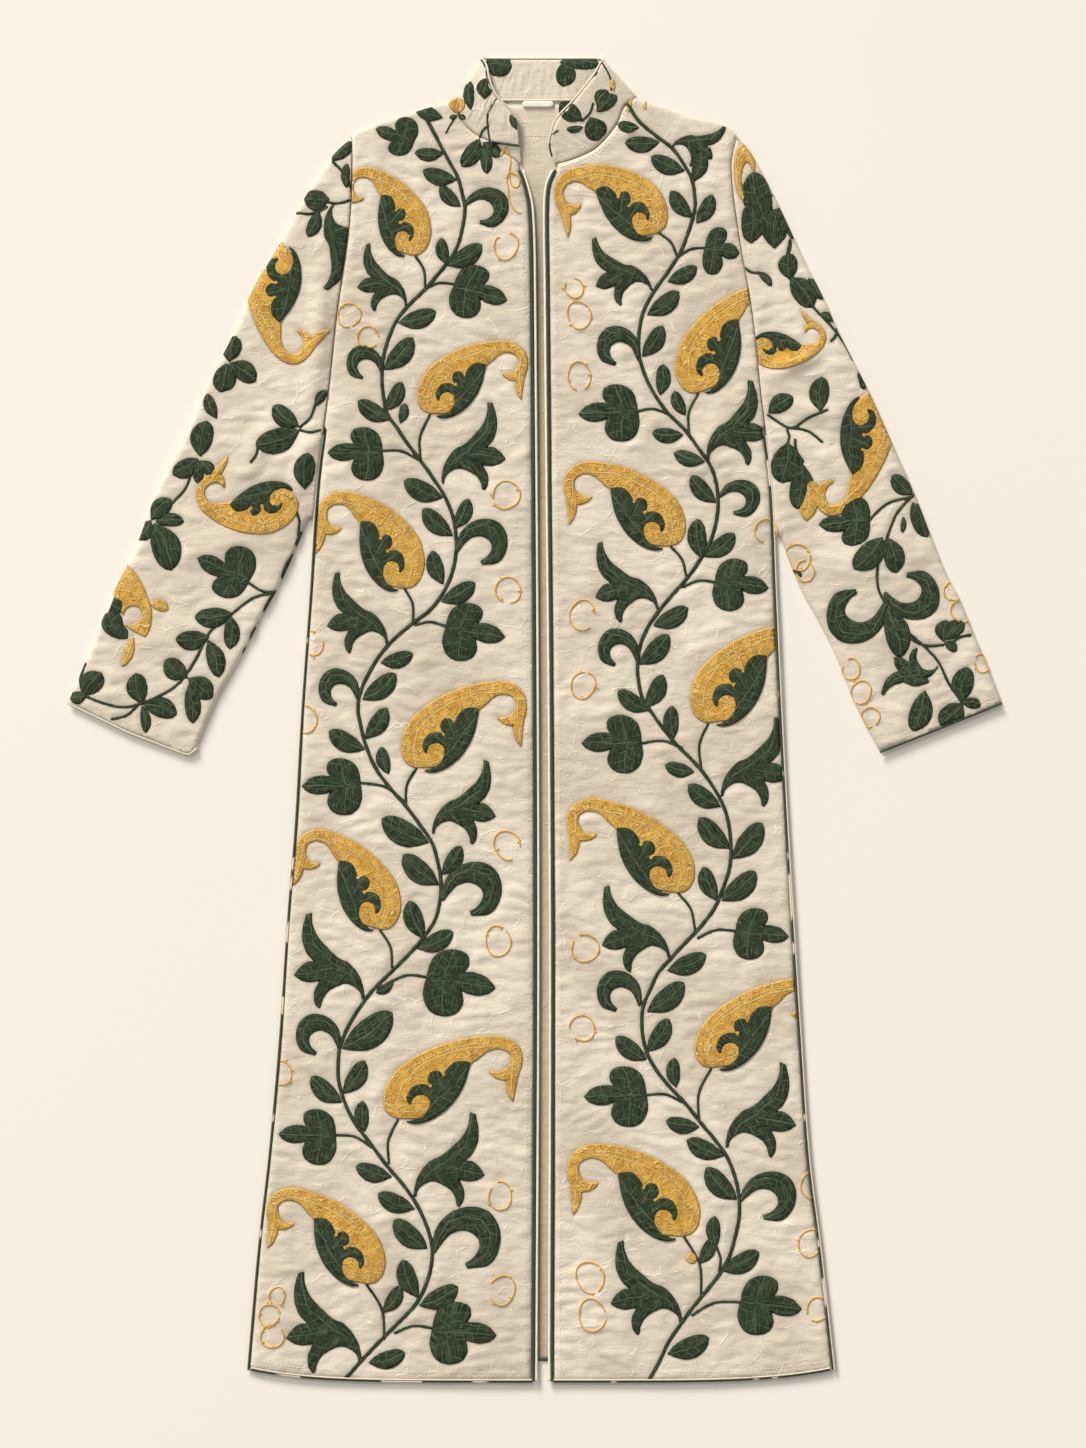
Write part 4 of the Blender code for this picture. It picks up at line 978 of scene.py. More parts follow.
def form(folds, points):
    """The height of the lying cloth above its flat level, from its soft waves and its folds."""
    x, y = points[:, 0], points[:, 1]
    high = WAVE_HEIGHT * (0.5 + 0.5 * np.sin(x / WAVE_X) * np.sin(y / WAVE_Y))
    for x0, y0, x1, y1, half, height in folds:
        dx, dy = x1 - x0, y1 - y0
        size = math.hypot(dx, dy)
        along = np.clip(((x - x0) * dx + (y - y0) * dy) / size**2, 0, 1)
        across = np.clip(np.abs((x - x0) * dy - (y - y0) * dx) / size / half, 0, 1)
        high = high + height * np.sin(math.pi * along) * (0.5 + 0.5 * np.cos(math.pi * across))
    return high


def lattice(outline, step):
    """An even triangular lattice of points over an outline's box."""
    low, high = np.min(outline, axis=0), np.max(outline, axis=0)
    rise = step * 0.866
    rows = []
    for j, y in enumerate(np.arange(low[1], high[1], rise)):
        xs = np.arange(low[0] + step / 2 * (j % 2), high[0], step)
        rows.append(np.column_stack((xs, np.full(len(xs), y))))
    return np.concatenate(rows)


def triangles(points, sides, loops):
    """Triangles over points and sides, kept where any of the loops runs round them."""
    flat = [Vector(p) for p in points.tolist()]
    vertices, _, faces, _, _, _ = delaunay_2d_cdt(flat, sides, [], 0, WELD)
    spots = np.array([tuple(v) for v in vertices])
    faces = np.array(faces)
    middles = spots[faces].mean(axis=1)
    return spots, faces[inside_any(loops, middles)]


def rims(faces):
    """The sides that belong to one triangle only, in its direction."""
    sides = np.concatenate((faces[:, [0, 1]], faces[:, [1, 2]], faces[:, [2, 0]]))
    size = int(faces.max()) + 1
    keys = sides[:, 0] * size + sides[:, 1]
    twins = sides[:, 1] * size + sides[:, 0]
    return sides[~np.isin(keys, twins)]


def compact(spots, faces):
    used = np.unique(faces)
    number = np.zeros(int(used.max()) + 1, dtype=int)
    number[used] = np.arange(len(used))
    return spots[used], number[faces]


def crinkle(points, seed):
    """Short uneven wrinkles across the cloth, as quilting draws it up: round ridges, narrow valleys."""
    high = np.empty(len(points))
    for i, (x, y) in enumerate(points.tolist()):
        bend = noise.noise(Vector((x / 60, y / 60, seed + 7))) * 9
        coarse = abs(noise.noise(Vector((x / 34, (y + bend) / 13, seed))))
        puffed = noise.noise(Vector((x / 17, y / 15, seed + 12)))
        fine = noise.noise(Vector((x / 9, (y + bend) / 6, seed + 3)))
        high[i] = 2.3 * coarse + 0.7 * puffed + 0.45 * fine
    return high - 0.6


def hem_at(x):
    return HEM_Y + HEM_RISE * abs((x - HEM_CENTRE) / HEM_HALF) ** 5


def back_hem_at(x):
    return BACK_HEM_Y - BACK_HEM_FALL * abs((x - HEM_CENTRE) / HEM_HALF) ** 4


def steps_between(low, high, step):
    count = max(1, round(abs(high - low) / step))
    return [low + (high - low) * i / count for i in range(count + 1)]


def side_points(column, low, high, step_in):
    """The body's edge between two heights. Below the underarm it lies step_in inside the outline."""
    inward = 1 if column == 1 else -1
    found = []
    for y in steps_between(low, high, EDGE_STEP):
        shift = step_in if y < UNDERARM_Y else 0.0
        found.append((read(BODY, y, column) + inward * shift, y))
    return found


def front_edge_points(column, offset, low, high):
    """Points up a front edge, offset into the cloth."""
    into = -1 if column == 1 else 1
    return [(read(FRONT_EDGES, y, column) + into * offset, y) for y in steps_between(low, high, EDGE_STEP)]


def front_outline(column, neck, shoulder):
    """A front's outline, inside its trims."""
    into = 2 * PIPING_RADIUS + BINDING_WIDTH + 2 * SEAM
    edge_low = hem_at(read(FRONT_EDGES, HEM_Y, column)) + HEM_STEP
    edge = front_edge_points(column, into, edge_low, 549)
    side = side_points(column, SIDE_LOW, SIDE_HIGH, SIDE_STEP)
    hem = [(x, hem_at(x) + HEM_STEP) for x in steps_between(side[0][0], edge[0][0], EDGE_STEP)][1:-1]
    seam = evenly([(x, y + 0.2) for x, y, *_ in smooth(neck, 40)], EDGE_STEP)[1:]
    return hem + edge + seam + evenly(list(shoulder), EDGE_STEP) + side[::-1]


def back_outline():
    right = side_points(1, SIDE_LOW, SIDE_HIGH, 0.0)
    left = side_points(2, SIDE_LOW, SIDE_HIGH, 0.0)
    hem = [(x, back_hem_at(x)) for x in steps_between(right[0][0], left[0][0], EDGE_STEP)][1:-1]
    neck = ((94, 618.6), (46, 618), (6, 617.8), (-34, 618), (-74, 618.6))
    shoulders = evenly(list(SHOULDER_LEFT)[::-1] + list(neck) + list(SHOULDER_RIGHT), EDGE_STEP)
    return hem + left + shoulders + right[::-1]


def sleeve_outline(column, rows, cuff):
    """A sleeve's outline, and how many of its first points run down its outer fold."""
    away = -1 if column == 1 else 1
    outer = evenly([p[:2] for p in smooth([row[:2] for row in rows], 80)], EDGE_STEP)
    seam = evenly([p[:2] for p in smooth([row[2:] for row in rows if row[2]], 40)], EDGE_STEP)
    low = SLEEVE_LEAVES_Y if column == 1 else SLEEVE_LEAVES_LEFT_Y
    edge = [(x + away * 2 * SEAM, y) for x, y in side_points(column, low, SIDE_HIGH, 0.0)][1:]
    hem = evenly(list(cuff), EDGE_STEP)[1:-1]
    return outer + hem + seam[::-1] + edge, len(outer)


def joined(parts):
    """Several sets of vertices and faces as one."""
    vertices, faces, total = [], [], 0
    for spots, sides in parts:
        vertices.append(spots)
        faces.append(sides + total)
        total += len(spots)
    return np.concatenate(vertices), np.concatenate(faces)


def made_mesh(name, vertices, faces, materials, attributes=(), uv=None):
    """A mesh in metres from vertices in millimetres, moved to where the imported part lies."""
    mesh = bpy.data.meshes.new(name)
    placed = (np.asarray(vertices) + SHIFT) * MM
    mesh.from_pydata(placed.tolist(), [], np.asarray(faces).tolist())
    for key, values in attributes:
        layer = mesh.attributes.new(key, "FLOAT", "POINT")
        layer.data.foreach_set("value", np.asarray(values, dtype=np.float32))
    if uv is not None:
        layer = mesh.uv_layers.new(name="UVMap")
        corners = np.empty(len(mesh.loops), dtype=np.int32)
        mesh.loops.foreach_get("vertex_index", corners)
        layer.data.foreach_set("uv", np.asarray(uv, dtype=np.float32)[corners].ravel())
    for finish in materials:
        mesh.materials.append(finish)
    mesh.polygons.foreach_set("use_smooth", [True] * len(mesh.polygons))
    made = bpy.data.objects.new(name, mesh)
    bpy.context.scene.collection.objects.link(made)
    return made


def shell(outline, step, top_at, bottom_at):
    """A closed cloth over an outline: a close mesh on top, a sparse one below, and the rim between.

    top_at and bottom_at give heights from points and from their distances to the rim.
    """
    sides = [(i, (i + 1) % len(outline)) for i in range(len(outline))]
    rim = np.asarray(outline, dtype=float)
    ends = np.roll(rim, -1, axis=0)
    grid = lattice(rim, step)
    grid = grid[inside_any([outline], grid)]
    grid = grid[to_sides(grid, rim, ends) > step * 0.45]
    spots, faces = triangles(np.concatenate((rim, grid)), sides, [outline])
    gaps = to_sides(spots, rim, ends)
    top = np.column_stack((spots, top_at(spots, gaps)))
    below = lattice(rim, 14.0)
    below = below[inside_any([outline], below)]
    below = below[to_sides(below, rim, ends) > 5.0]
    under, under_faces = triangles(np.concatenate((rim, below)), sides, [outline])
    under_gaps = to_sides(under, rim, ends)
    bottom = np.column_stack((under, bottom_at(under, under_gaps)))
    vertices = np.concatenate((top, bottom))
    base = len(top)
    count = len(outline)
    here = np.arange(count)
    after = (here + 1) % count
    walls = np.concatenate(
        (np.column_stack((after, here, here + base)), np.column_stack((after, here + base, after + base)))
    )
    if (rim[:, 0] * ends[:, 1] - ends[:, 0] * rim[:, 1]).sum() < 0:
        walls = walls[:, ::-1]
    faces = np.concatenate((faces, under_faces[:, ::-1] + base, walls))
    return vertices, faces, base


def rounded(gaps, radius):
    """From 0 at an edge to 1 at a radius inside it, as a quarter of a circle."""
    return np.sqrt(1 - (1 - np.clip(gaps / radius, 0, 1)) ** 2)


def loops_of(motifs):
    return [loop for motif in motifs for loop in motif.loops]


def near_tree(motifs):
    """The outline points of the motifs, for finding the nearest one."""
    points = [p for loop in loops_of(motifs) for p in loop]
    tree = kdtree.KDTree(len(points))
    for i, (x, y) in enumerate(points):
        tree.insert((x, y, 0), i)
    tree.balance()
    return tree


def motif_gaps(motifs, spots):
    """How far each point is outside the motifs, and 0 on them."""
    tree = near_tree(motifs)
    gaps = np.array([tree.find((x, y, 0))[2] for x, y in spots.tolist()])
    gaps[inside_any(loops_of(motifs), spots)] = 0
    return gaps


def embroidered(name, motifs, clip, height_at, materials):
    """Raised embroidery: every motif is a closed pad, sunk at its rim and round at its edge."""
    parts, edges, tints, uvs = [], [], [], []
    fence = np.asarray(clip)
    for number, motif in enumerate(motifs):
        built = padded_motif(motif, clip, fence, height_at)
        if built is None:
            continue
        vertices, faces, gaps = built
        parts.append((vertices, faces))
        edges.append(gaps)
        tints.append(np.full(len(vertices), (number * 0.618) % 1.0))
        uvs.append(along_spines(vertices[:, :2], motif.spines))
    vertices, faces = joined(parts)
    attributes = [("edge", np.concatenate(edges)), ("tint", np.concatenate(tints))]
    return made_mesh(name, vertices, faces, materials, attributes, np.concatenate(uvs))


def padded_motif(motif, clip, fence, height_at):
    """One motif's vertices, faces and distances to its rim, cut where the cloth ends."""
    points = [p for loop in motif.loops for p in loop]
    sides, first = [], 0
    for loop in motif.loops:
        sides += [(first + i, first + (i + 1) % len(loop)) for i in range(len(loop))]
        first += len(loop)
    spots = np.asarray(points)
    whole = windings(clip, spots) != 0
    if not whole.any():
        return None
    if not whole.all():
        points = points + [tuple(p) for p in fence]
        sides += [(first + i, first + (i + 1) % len(fence)) for i in range(len(fence))]
    spots, faces = triangles(np.asarray(points), sides, motif.loops)
    if not whole.all():
        faces = faces[inside_any([clip], spots[faces].mean(axis=1))]
    if not len(faces):
        return None
    spots, faces = compact(spots, faces)
    rim = rims(faces)
    starts, ends = spots[rim[:, 0]], spots[rim[:, 1]]
    along = ends - starts
    sizes = np.maximum(np.linalg.norm(along, axis=1, keepdims=True), 1e-6)
    normals = np.column_stack((-along[:, 1], along[:, 0])) / sizes
    inset = (starts + ends) / 2 + normals * INSET
    grid = lattice(spots, INNER_STEP)
    gaps = to_sides(grid, starts, ends)
    grid = grid[gaps > 2.0]
    inset = inset[to_sides(inset, starts, ends) > INSET * 0.8]
    wanted = np.concatenate((inset, grid))
    order = np.unique(rim)
    number = np.zeros(len(spots), dtype=int)
    number[order] = np.arange(len(order))
    fixed = spots[order]
    chain = number[rim]
    wanted = wanted[kept_inside(wanted, starts, ends)]
    flat, over = closed_triangles(np.concatenate((fixed, wanted)), chain, starts, ends)
    gaps = to_sides(flat, starts, ends)
    gaps[:len(order)] = 0
    base = height_at(flat)
    rise = 1.15 * rounded(gaps, 1.5) + 0.55 * (1 - np.exp(-gaps / 5)) + motif.lift
    top = np.column_stack((flat, base - 0.35 + rise * (gaps > 0)))
    low = np.column_stack((spots, height_at(spots) - 0.35))
    merged = np.arange(len(spots)) + len(flat)
    merged[order] = np.arange(len(order))
    vertices = np.concatenate((top, low))
    faces = np.concatenate((over, merged[faces][:, ::-1]))
    gaps = np.concatenate((gaps, np.zeros(len(spots))))
    used = np.unique(faces)
    place = np.zeros(len(vertices), dtype=int)
    place[used] = np.arange(len(used))
    return vertices[used], place[faces], gaps[used]


def along_spines(points, spines):
    """For each point, the way along the nearest spine and the distance across it."""
    found = np.zeros((len(points), 2))
    nearest = np.full(len(points), np.inf)
    for spine in spines:
        line = np.asarray(spine)
        side = line[1:] - line[:-1]
        size = np.maximum(np.linalg.norm(side, axis=1), 1e-6)
        passed = np.concatenate(((0,), np.cumsum(size)[:-1]))
        offset = points[:, None, :] - line[None, :-1]
        t = np.clip((offset * side).sum(axis=2) / size**2, 0, 1)
        gap = offset - t[..., None] * side
        away = np.linalg.norm(gap, axis=2)
        best = away.argmin(axis=1)
        rows = np.arange(len(points))
        turn = side[best, 0] * offset[rows, best, 1] - side[best, 1] * offset[rows, best, 0]
        along = passed[best] + t[rows, best] * size[best]
        closer = away[rows, best] < nearest
        found[closer] = np.column_stack((along, away[rows, best] * np.sign(turn)))[closer]
        nearest[closer] = away[rows, best][closer]
    return found


def kept_inside(points, starts, ends):
    """Which points lie inside sides that run round an area, whatever their order."""
    x, y = points[:, :1], points[:, 1:2]
    up = (starts[:, 1] <= y) & (ends[:, 1] > y)
    down = (starts[:, 1] > y) & (ends[:, 1] <= y)
    across = (ends[:, 0] - starts[:, 0]) * (y - starts[:, 1]) - (x - starts[:, 0]) * (ends[:, 1] - starts[:, 1])
    return (up & (across > 0)).sum(axis=1) != (down & (across < 0)).sum(axis=1)


def closed_triangles(points, chain, starts, ends):
    flat = [Vector(p) for p in points.tolist()]
    vertices, _, faces, _, _, _ = delaunay_2d_cdt(flat, chain.tolist(), [], 0, 1e-6)
    spots = np.array([tuple(v) for v in vertices])
    faces = np.array(faces)
    return spots, faces[kept_inside(spots[faces].mean(axis=1), starts, ends)]


class Panel:
    """One embroidered panel: its outline, its folds, its level and what is sewn on it."""

    def __init__(self, name, outline, folds, level, motifs, seed, fold_sides=None):
        self.name = name
        self.outline = outline
        self.folds = folds
        self.level = level
        self.motifs = motifs
        self.seed = seed
        starts = np.asarray(outline)
        ends = np.roll(starts, -1, axis=0)
        self.sides = (starts, ends)
        self.rolled = None if fold_sides is None else (starts[fold_sides], ends[fold_sides])

    def base(self, spots, gaps):
        """The outer face's height without what the quilting adds."""
        if self.rolled is None:
            return self.level + CLOTH * rounded(gaps + 0.6, 2.2) + form(self.folds, spots) * np.clip(gaps / 3, 0, 1)
        turn = to_sides(spots, *self.rolled)
        high = (self.level + CLOTH - 1.2) * rounded(turn + 0.3, 5.0) + 1.2 * rounded(gaps + 0.5, 2.0)
        return high + form(self.folds, spots) * np.clip(turn / 12, 0, 1)

    def height_at(self, spots):
        return self.base(spots, to_sides(spots, *self.sides))

    def sewn(self, finish):
        """The cloth itself, drawn up between its motifs and puckered along its edges."""
        found = {}

        def top_at(spots, gaps):
            near = motif_gaps(self.motifs, spots)
            found["near"] = near
            wrinkles = crinkle(spots, self.seed) * np.clip(near / 6, 0, 1) * np.clip(gaps / 5, 0.1, 1)
            beat = np.sin((spots[:, 0] + spots[:, 1]) / 1.6 + 2.2 * np.sin(spots[:, 1] / 13))
            puckers = 0.35 * np.exp(-gaps / 10) * beat * np.clip(gaps / 2, 0, 1)
            puff = 0.8 * (1 - np.exp(-near / 4)) * np.clip(gaps / 6, 0, 1) - 0.35 * (near == 0)
            return self.base(spots, gaps) + puff + wrinkles + puckers

        def bottom_at(spots, gaps):
            if self.rolled is None:
                return self.level + 0.6 * form(self.folds, spots) * np.clip(gaps / 8, 0, 1)
            turn = to_sides(spots, *self.rolled)
            return self.level * rounded(turn, 5.0) + 0.6 * form(self.folds, spots) * np.clip(turn / 12, 0, 1)

        vertices, faces, base = shell(self.outline, CLOTH_STEP, top_at, bottom_at)
        near = np.concatenate((found["near"], np.full(len(vertices) - base, 20.0)))
        return vertices, faces, near


def front_panel(side):
    if side == "right":
        motifs = single_motifs(MOTIFS_RIGHT, (VINE_RIGHT,), VINE_WIDTH)
        outline = front_outline(1, NECK_RIGHT, SHOULDER_RIGHT)
        return Panel("front_right", outline, FOLDS_FRONT_RIGHT, FRONT_LEVEL, motifs, 3.0)
    motifs = single_motifs(MOTIFS_LEFT, (VINE_LEFT,), VINE_WIDTH)
    outline = front_outline(2, NECK_LEFT, SHOULDER_LEFT)
    return Panel("front_left", outline, FOLDS_FRONT_LEFT, FRONT_LEVEL, motifs, 11.0)


def sleeve_panel(side):
    if side == "right":
        outline, outer = sleeve_outline(1, SLEEVE_RIGHT, CUFF_RIGHT)
        rows, cuff, folds = SLEEVE_RIGHT, CUFF_RIGHT, FOLDS_SLEEVE_RIGHT
        motifs = single_motifs(MOTIFS_SLEEVE_RIGHT, SLEEVE_VINE_RIGHT)
        seed = 19.0
    else:
        outline, outer = sleeve_outline(2, SLEEVE_LEFT, CUFF_LEFT)
        rows, cuff, folds = SLEEVE_LEFT, CUFF_LEFT, FOLDS_SLEEVE_LEFT
        motifs = single_motifs(MOTIFS_SLEEVE_LEFT, SLEEVE_VINE_LEFT)
        seed = 29.0
    seam_count = len(evenly([p[:2] for p in smooth([row[2:] for row in rows if row[2]], 40)], EDGE_STEP))
    hem_count = len(evenly(list(cuff), EDGE_STEP)) - 2
    first = outer + hem_count
    rolled = list(range(outer - 1)) + list(range(first, first + seam_count - 1))
    return Panel(f"sleeve_{side}", outline, folds, SLEEVE_LEVEL, motifs, seed, rolled)


def inset_outline(outline, rolled, depth):
    """An outline whose folded sides lie deeper inside it."""
    starts = np.asarray(outline)
    turn = np.sign((starts[:, 0] * np.roll(starts[:, 1], -1) - np.roll(starts[:, 0], -1) * starts[:, 1]).sum())
    along = np.roll(starts, -1, axis=0) - np.roll(starts, 1, axis=0)
    normals = np.column_stack((-along[:, 1], along[:, 0])) / np.linalg.norm(along, axis=1, keepdims=True) * turn
    found = []
    flagged = set(rolled)
    for i, (point, normal) in enumerate(zip(starts, normals)):
        found.append(tuple(point + normal * (depth if i in flagged or i - 1 in flagged else 0.0)))
    return found


def lofted(rows, count, across, thickness, seed, ripples=1.0):
    """A cloth wall between two smooth edges, a little uneven. Columns: edge x, y, z, then edge x, y, z."""
    lines = evenly([(*row,) for row in smooth(rows, 12 * len(rows))], length_of(rows) / count)
    count = len(lines)
    spots, sides = [], []
    for i, row in enumerate(lines):
        low, high = Vector(row[:3]), Vector(row[3:])
        before, after = lines[max(i - 1, 0)], lines[min(i + 1, count - 1)]
        along = Vector(after[:3]) + Vector(after[3:]) - Vector(before[:3]) - Vector(before[3:])
        out = (high - low).cross(along).normalized()
        for face in (1, -1):
            for k in range(across + 1):
                t = k / across
                point = low.lerp(high, t)
                ripple = 0.45 * noise.noise(Vector((i * 0.35, t * 3, seed)))
                ripple += 0.3 * noise.noise(Vector((i * 0.9, t * 7, seed + 5)))
                ripple *= ripples * min(1.0, 4 * t * (1 - t) + 0.1)
                crown = thickness / 2 * math.sqrt(1 - (abs(2 * t - 1)) ** 10 * 0.8)
                placed = point + out * (face * crown + ripple)
                spots.append((placed.x, placed.y, max(placed.z, 0.0)))
    ring = 2 * (across + 1)
    order = list(range(across + 1)) + list(range(2 * across + 1, across, -1))
    for i in range(count - 1):
        for k in range(ring):
            a, b = order[k], order[(k + 1) % ring]
            p, q, r, s = i * ring + a, i * ring + b, (i + 1) * ring + b, (i + 1) * ring + a
            sides += [(p, q, r), (p, r, s)]
    for k in range(across):
        top = k
        low = across + 1 + k
        sides += [(top + 1, top, low), (top + 1, low, low + 1)]
        last = (count - 1) * ring
        sides += [(last + top, last + top + 1, last + low + 1), (last + top, last + low + 1, last + low)]
    return np.asarray(spots), np.asarray(sides)


def lifted(path, folds, height):
    points = np.asarray([p[:2] for p in path], dtype=float)
    return [(x, y, height + rise) for (x, y), rise in zip(points.tolist(), form(folds, points))]


class Surface:
    """The finished cloth from above, for laying stitches and shapes on it."""

    def __init__(self, names):
        vertices, faces = [], []
        for name in names:
            mesh = bpy.data.objects[name].data
            base = len(vertices)
            vertices += [v.co.copy() for v in mesh.vertices]
            faces += [tuple(base + i for i in p.vertices) for p in mesh.polygons]
        self.tree = BVHTree.FromPolygons(vertices, faces)

    def height(self, x, y, otherwise=None):
        origin = Vector(((x + SHIFT[0]) * MM, (y + SHIFT[1]) * MM, 0.1))
        hit = self.tree.ray_cast(origin, Vector((0, 0, -1)))[0]
        return otherwise if hit is None else hit.z / MM

    def lay(self, path, above):
        """A path laid on the cloth, its points kept where there is cloth under them."""
        found = []
        for x, y in (p[:2] for p in path):
            high = self.height(x, y)
            if high is not None:
                found.append((x, y, high + above))
        return found


def ring_path(x, y, radius, number):
    """An open, uneven ring, as it is stitched by hand."""
    start = 140 + 73 * number
    turns = [math.radians(start + a) for a in range(0, 290 + (47 * number) % 70, 8)]
    sizes = [radius * (1 + 0.06 * math.sin(2 * a + number) + 0.03 * math.sin(3 * a + 2 * number)) for a in turns]
    path = [(x + size * math.cos(a), y + 1.12 * size * math.sin(a)) for a, size in zip(turns, sizes)]
    return evenly(path, 1.5)


def ring_knots(path, number):
    """Small knots that stand across a ring here and there."""
    found = []
    step = len(path) // (3 + number % 3)
    for i in range(number % 4, len(path), step):
        x, y = path[i][:2]
        turn = 2.4 * i + number
        reach = 1.6 + 0.9 * math.sin(3.1 * i)
        found.append([(x, y), (x + reach * math.cos(turn), y + reach * math.sin(turn))])
    return found


def group_socket(group, name, kind, value, low=None):
    socket = group.interface.new_socket(name=name, in_out="INPUT", socket_type=kind)
    if value is not None:
        socket.default_value = value
    if low is not None:
        socket.min_value = low
    return socket


def piping_group():
    """A round cord swept along a curve, with the way along it kept for its cover's pattern."""
    group = bpy.data.node_groups.new("piping", "GeometryNodeTree")
    group_socket(group, "Geometry", "NodeSocketGeometry", None)
    group_socket(group, "Radius", "NodeSocketFloat", 0.001, 0.0)
    group_socket(group, "Sides", "NodeSocketInt", 12, 3)
    group_socket(group, "Material", "NodeSocketMaterial", None)
    group.interface.new_socket(name="Geometry", in_out="OUTPUT", socket_type="NodeSocketGeometry")
    wires = Wires(group)
    source = wires.add("NodeGroupInput")
    length = wires.add("GeometryNodeSplineParameter")
    stored = wires.add(
        "GeometryNodeStoreNamedAttribute",
        {"Geometry": source.outputs["Geometry"], "Name": "along", "Value": length.outputs["Length"]},
        data_type="FLOAT",
        domain="POINT",
    )
    circle = wires.add(
        "GeometryNodeCurvePrimitiveCircle",
        {"Resolution": source.outputs["Sides"], "Radius": source.outputs["Radius"]},
    )
    swept = wires.add(
        "GeometryNodeCurveToMesh",
        {"Curve": stored.outputs["Geometry"], "Profile Curve": circle.outputs["Curve"], "Fill Caps": True},
    )
    shaded = wires.add("GeometryNodeSetShadeSmooth", {"Geometry": swept.outputs["Mesh"]})
    whole = wires.add("GeometryNodeRealizeInstances", {"Geometry": shaded.outputs["Geometry"]})
    finished = wires.add(
        "GeometryNodeSetMaterial",
        {"Geometry": whole.outputs["Geometry"], "Material": source.outputs["Material"]},
    )
    wires.add("NodeGroupOutput", {"Geometry": finished.outputs["Geometry"]})
    return group


def stitch_group():
    """Short rounded stitches set at even steps along curves."""
    group = bpy.data.node_groups.new("stitches", "GeometryNodeTree")
    group_socket(group, "Geometry", "NodeSocketGeometry", None)
    group_socket(group, "Spacing", "NodeSocketFloat", 0.003, 0.0005)
    group_socket(group, "Length", "NodeSocketFloat", 0.003, 0.0)
    group_socket(group, "Width", "NodeSocketFloat", 0.001, 0.0)
    group_socket(group, "Turn", "NodeSocketFloat", 0.1, 0.0)
    group_socket(group, "Seed", "NodeSocketInt", 1)
    group_socket(group, "Material", "NodeSocketMaterial", None)
    group.interface.new_socket(name="Geometry", in_out="OUTPUT", socket_type="NodeSocketGeometry")
    wires = Wires(group)
    source = wires.add("NodeGroupInput")
    spaced = wires.add(
        "GeometryNodeResampleCurve",
        {"Curve": source.outputs["Geometry"], "Length": source.outputs["Spacing"]},
        mode="LENGTH",
    )
    tangent = wires.add("GeometryNodeInputTangent")
    aimed = wires.add("FunctionNodeAlignRotationToVector", {"Vector": tangent.outputs["Tangent"]}, axis="X")
    less = wires.add("ShaderNodeMath", {0: source.outputs["Turn"], 1: -1.0}, operation="MULTIPLY")
    stray = wires.add(
        "FunctionNodeRandomValue",
        {2: less.outputs[0], 3: source.outputs["Turn"], "Seed": source.outputs["Seed"]},
        data_type="FLOAT",
    )
    tilt = wires.add("ShaderNodeCombineXYZ", {"Z": stray.outputs[1]})
    tilted = wires.add("FunctionNodeEulerToRotation", {"Euler": tilt.outputs["Vector"]})
    turned = wires.add(
        "FunctionNodeRotateRotation",
        {"Rotation": aimed.outputs["Rotation"], "Rotate By": tilted.outputs["Rotation"]},
        rotation_space="LOCAL",
    )
    bead = wires.add("GeometryNodeMeshUVSphere", {"Segments": 8, "Rings": 5, "Radius": 0.5})
    size = wires.add(
        "ShaderNodeCombineXYZ",
        {"X": source.outputs["Length"], "Y": source.outputs["Width"], "Z": source.outputs["Width"]},
    )
    placed = wires.add(
        "GeometryNodeInstanceOnPoints",
        {
            "Points": spaced.outputs["Curve"],
            "Instance": bead.outputs["Mesh"],
            "Rotation": turned.outputs["Rotation"],
            "Scale": size.outputs["Vector"],
        },
    )
    whole = wires.add("GeometryNodeRealizeInstances", {"Geometry": placed.outputs["Instances"]})
    shaded = wires.add("GeometryNodeSetShadeSmooth", {"Geometry": whole.outputs["Geometry"]})
    finished = wires.add(
        "GeometryNodeSetMaterial",
        {"Geometry": shaded.outputs["Geometry"], "Material": source.outputs["Material"]},
    )
    wires.add("NodeGroupOutput", {"Geometry": finished.outputs["Geometry"]})
    return group


class Wires:
    """Adds nodes to a tree, each input set from a socket or from a value."""

    def __init__(self, tree):
        self.tree = tree

    def add(self, kind, inputs=None, **settings):
        node = self.tree.nodes.new(kind)
        for key, value in settings.items():
            setattr(node, key, value)
        for key, value in (inputs or {}).items():
            if isinstance(value, bpy.types.NodeSocket):
                self.tree.links.new(value, node.inputs[key])
            else:
                node.inputs[key].default_value = value
        return node


def along_curves(name, paths, group, finish, **values):
    """A mesh that a node group makes along paths in millimetres."""
    curve = bpy.data.curves.new(name + "_paths", "CURVE")
    curve.dimensions = "3D"
    for path in paths:
        if len(path) < 2:
            continue
        spline = curve.splines.new("POLY")
        spline.points.add(len(path) - 1)
        for point, place in zip(spline.points, path):
            placed = (np.asarray(place) + SHIFT) * MM
            point.co = (*placed, 1)
    holder = bpy.data.objects.new(name + "_paths", curve)
    bpy.context.scene.collection.objects.link(holder)
    modifier = holder.modifiers.new("made", "NODES")
    modifier.node_group = group
    named = {item.name: item.identifier for item in group.interface.items_tree if item.in_out == "INPUT"}
    for key, value in values.items():
        modifier[named[key.capitalize()]] = value
    modifier[named["Material"]] = finish
    holder.update_tag()
    bpy.context.view_layer.update()
    graph = bpy.context.evaluated_depsgraph_get()
    mesh = bpy.data.meshes.new_from_object(holder.evaluated_get(graph))
    mesh.name = name
    bpy.data.objects.remove(holder)
    bpy.data.curves.remove(curve)
    if not len(mesh.polygons):
        raise RuntimeError(f"{name} came out empty")
    made = bpy.data.objects.new(name, mesh)
    bpy.context.scene.collection.objects.link(made)
    return made


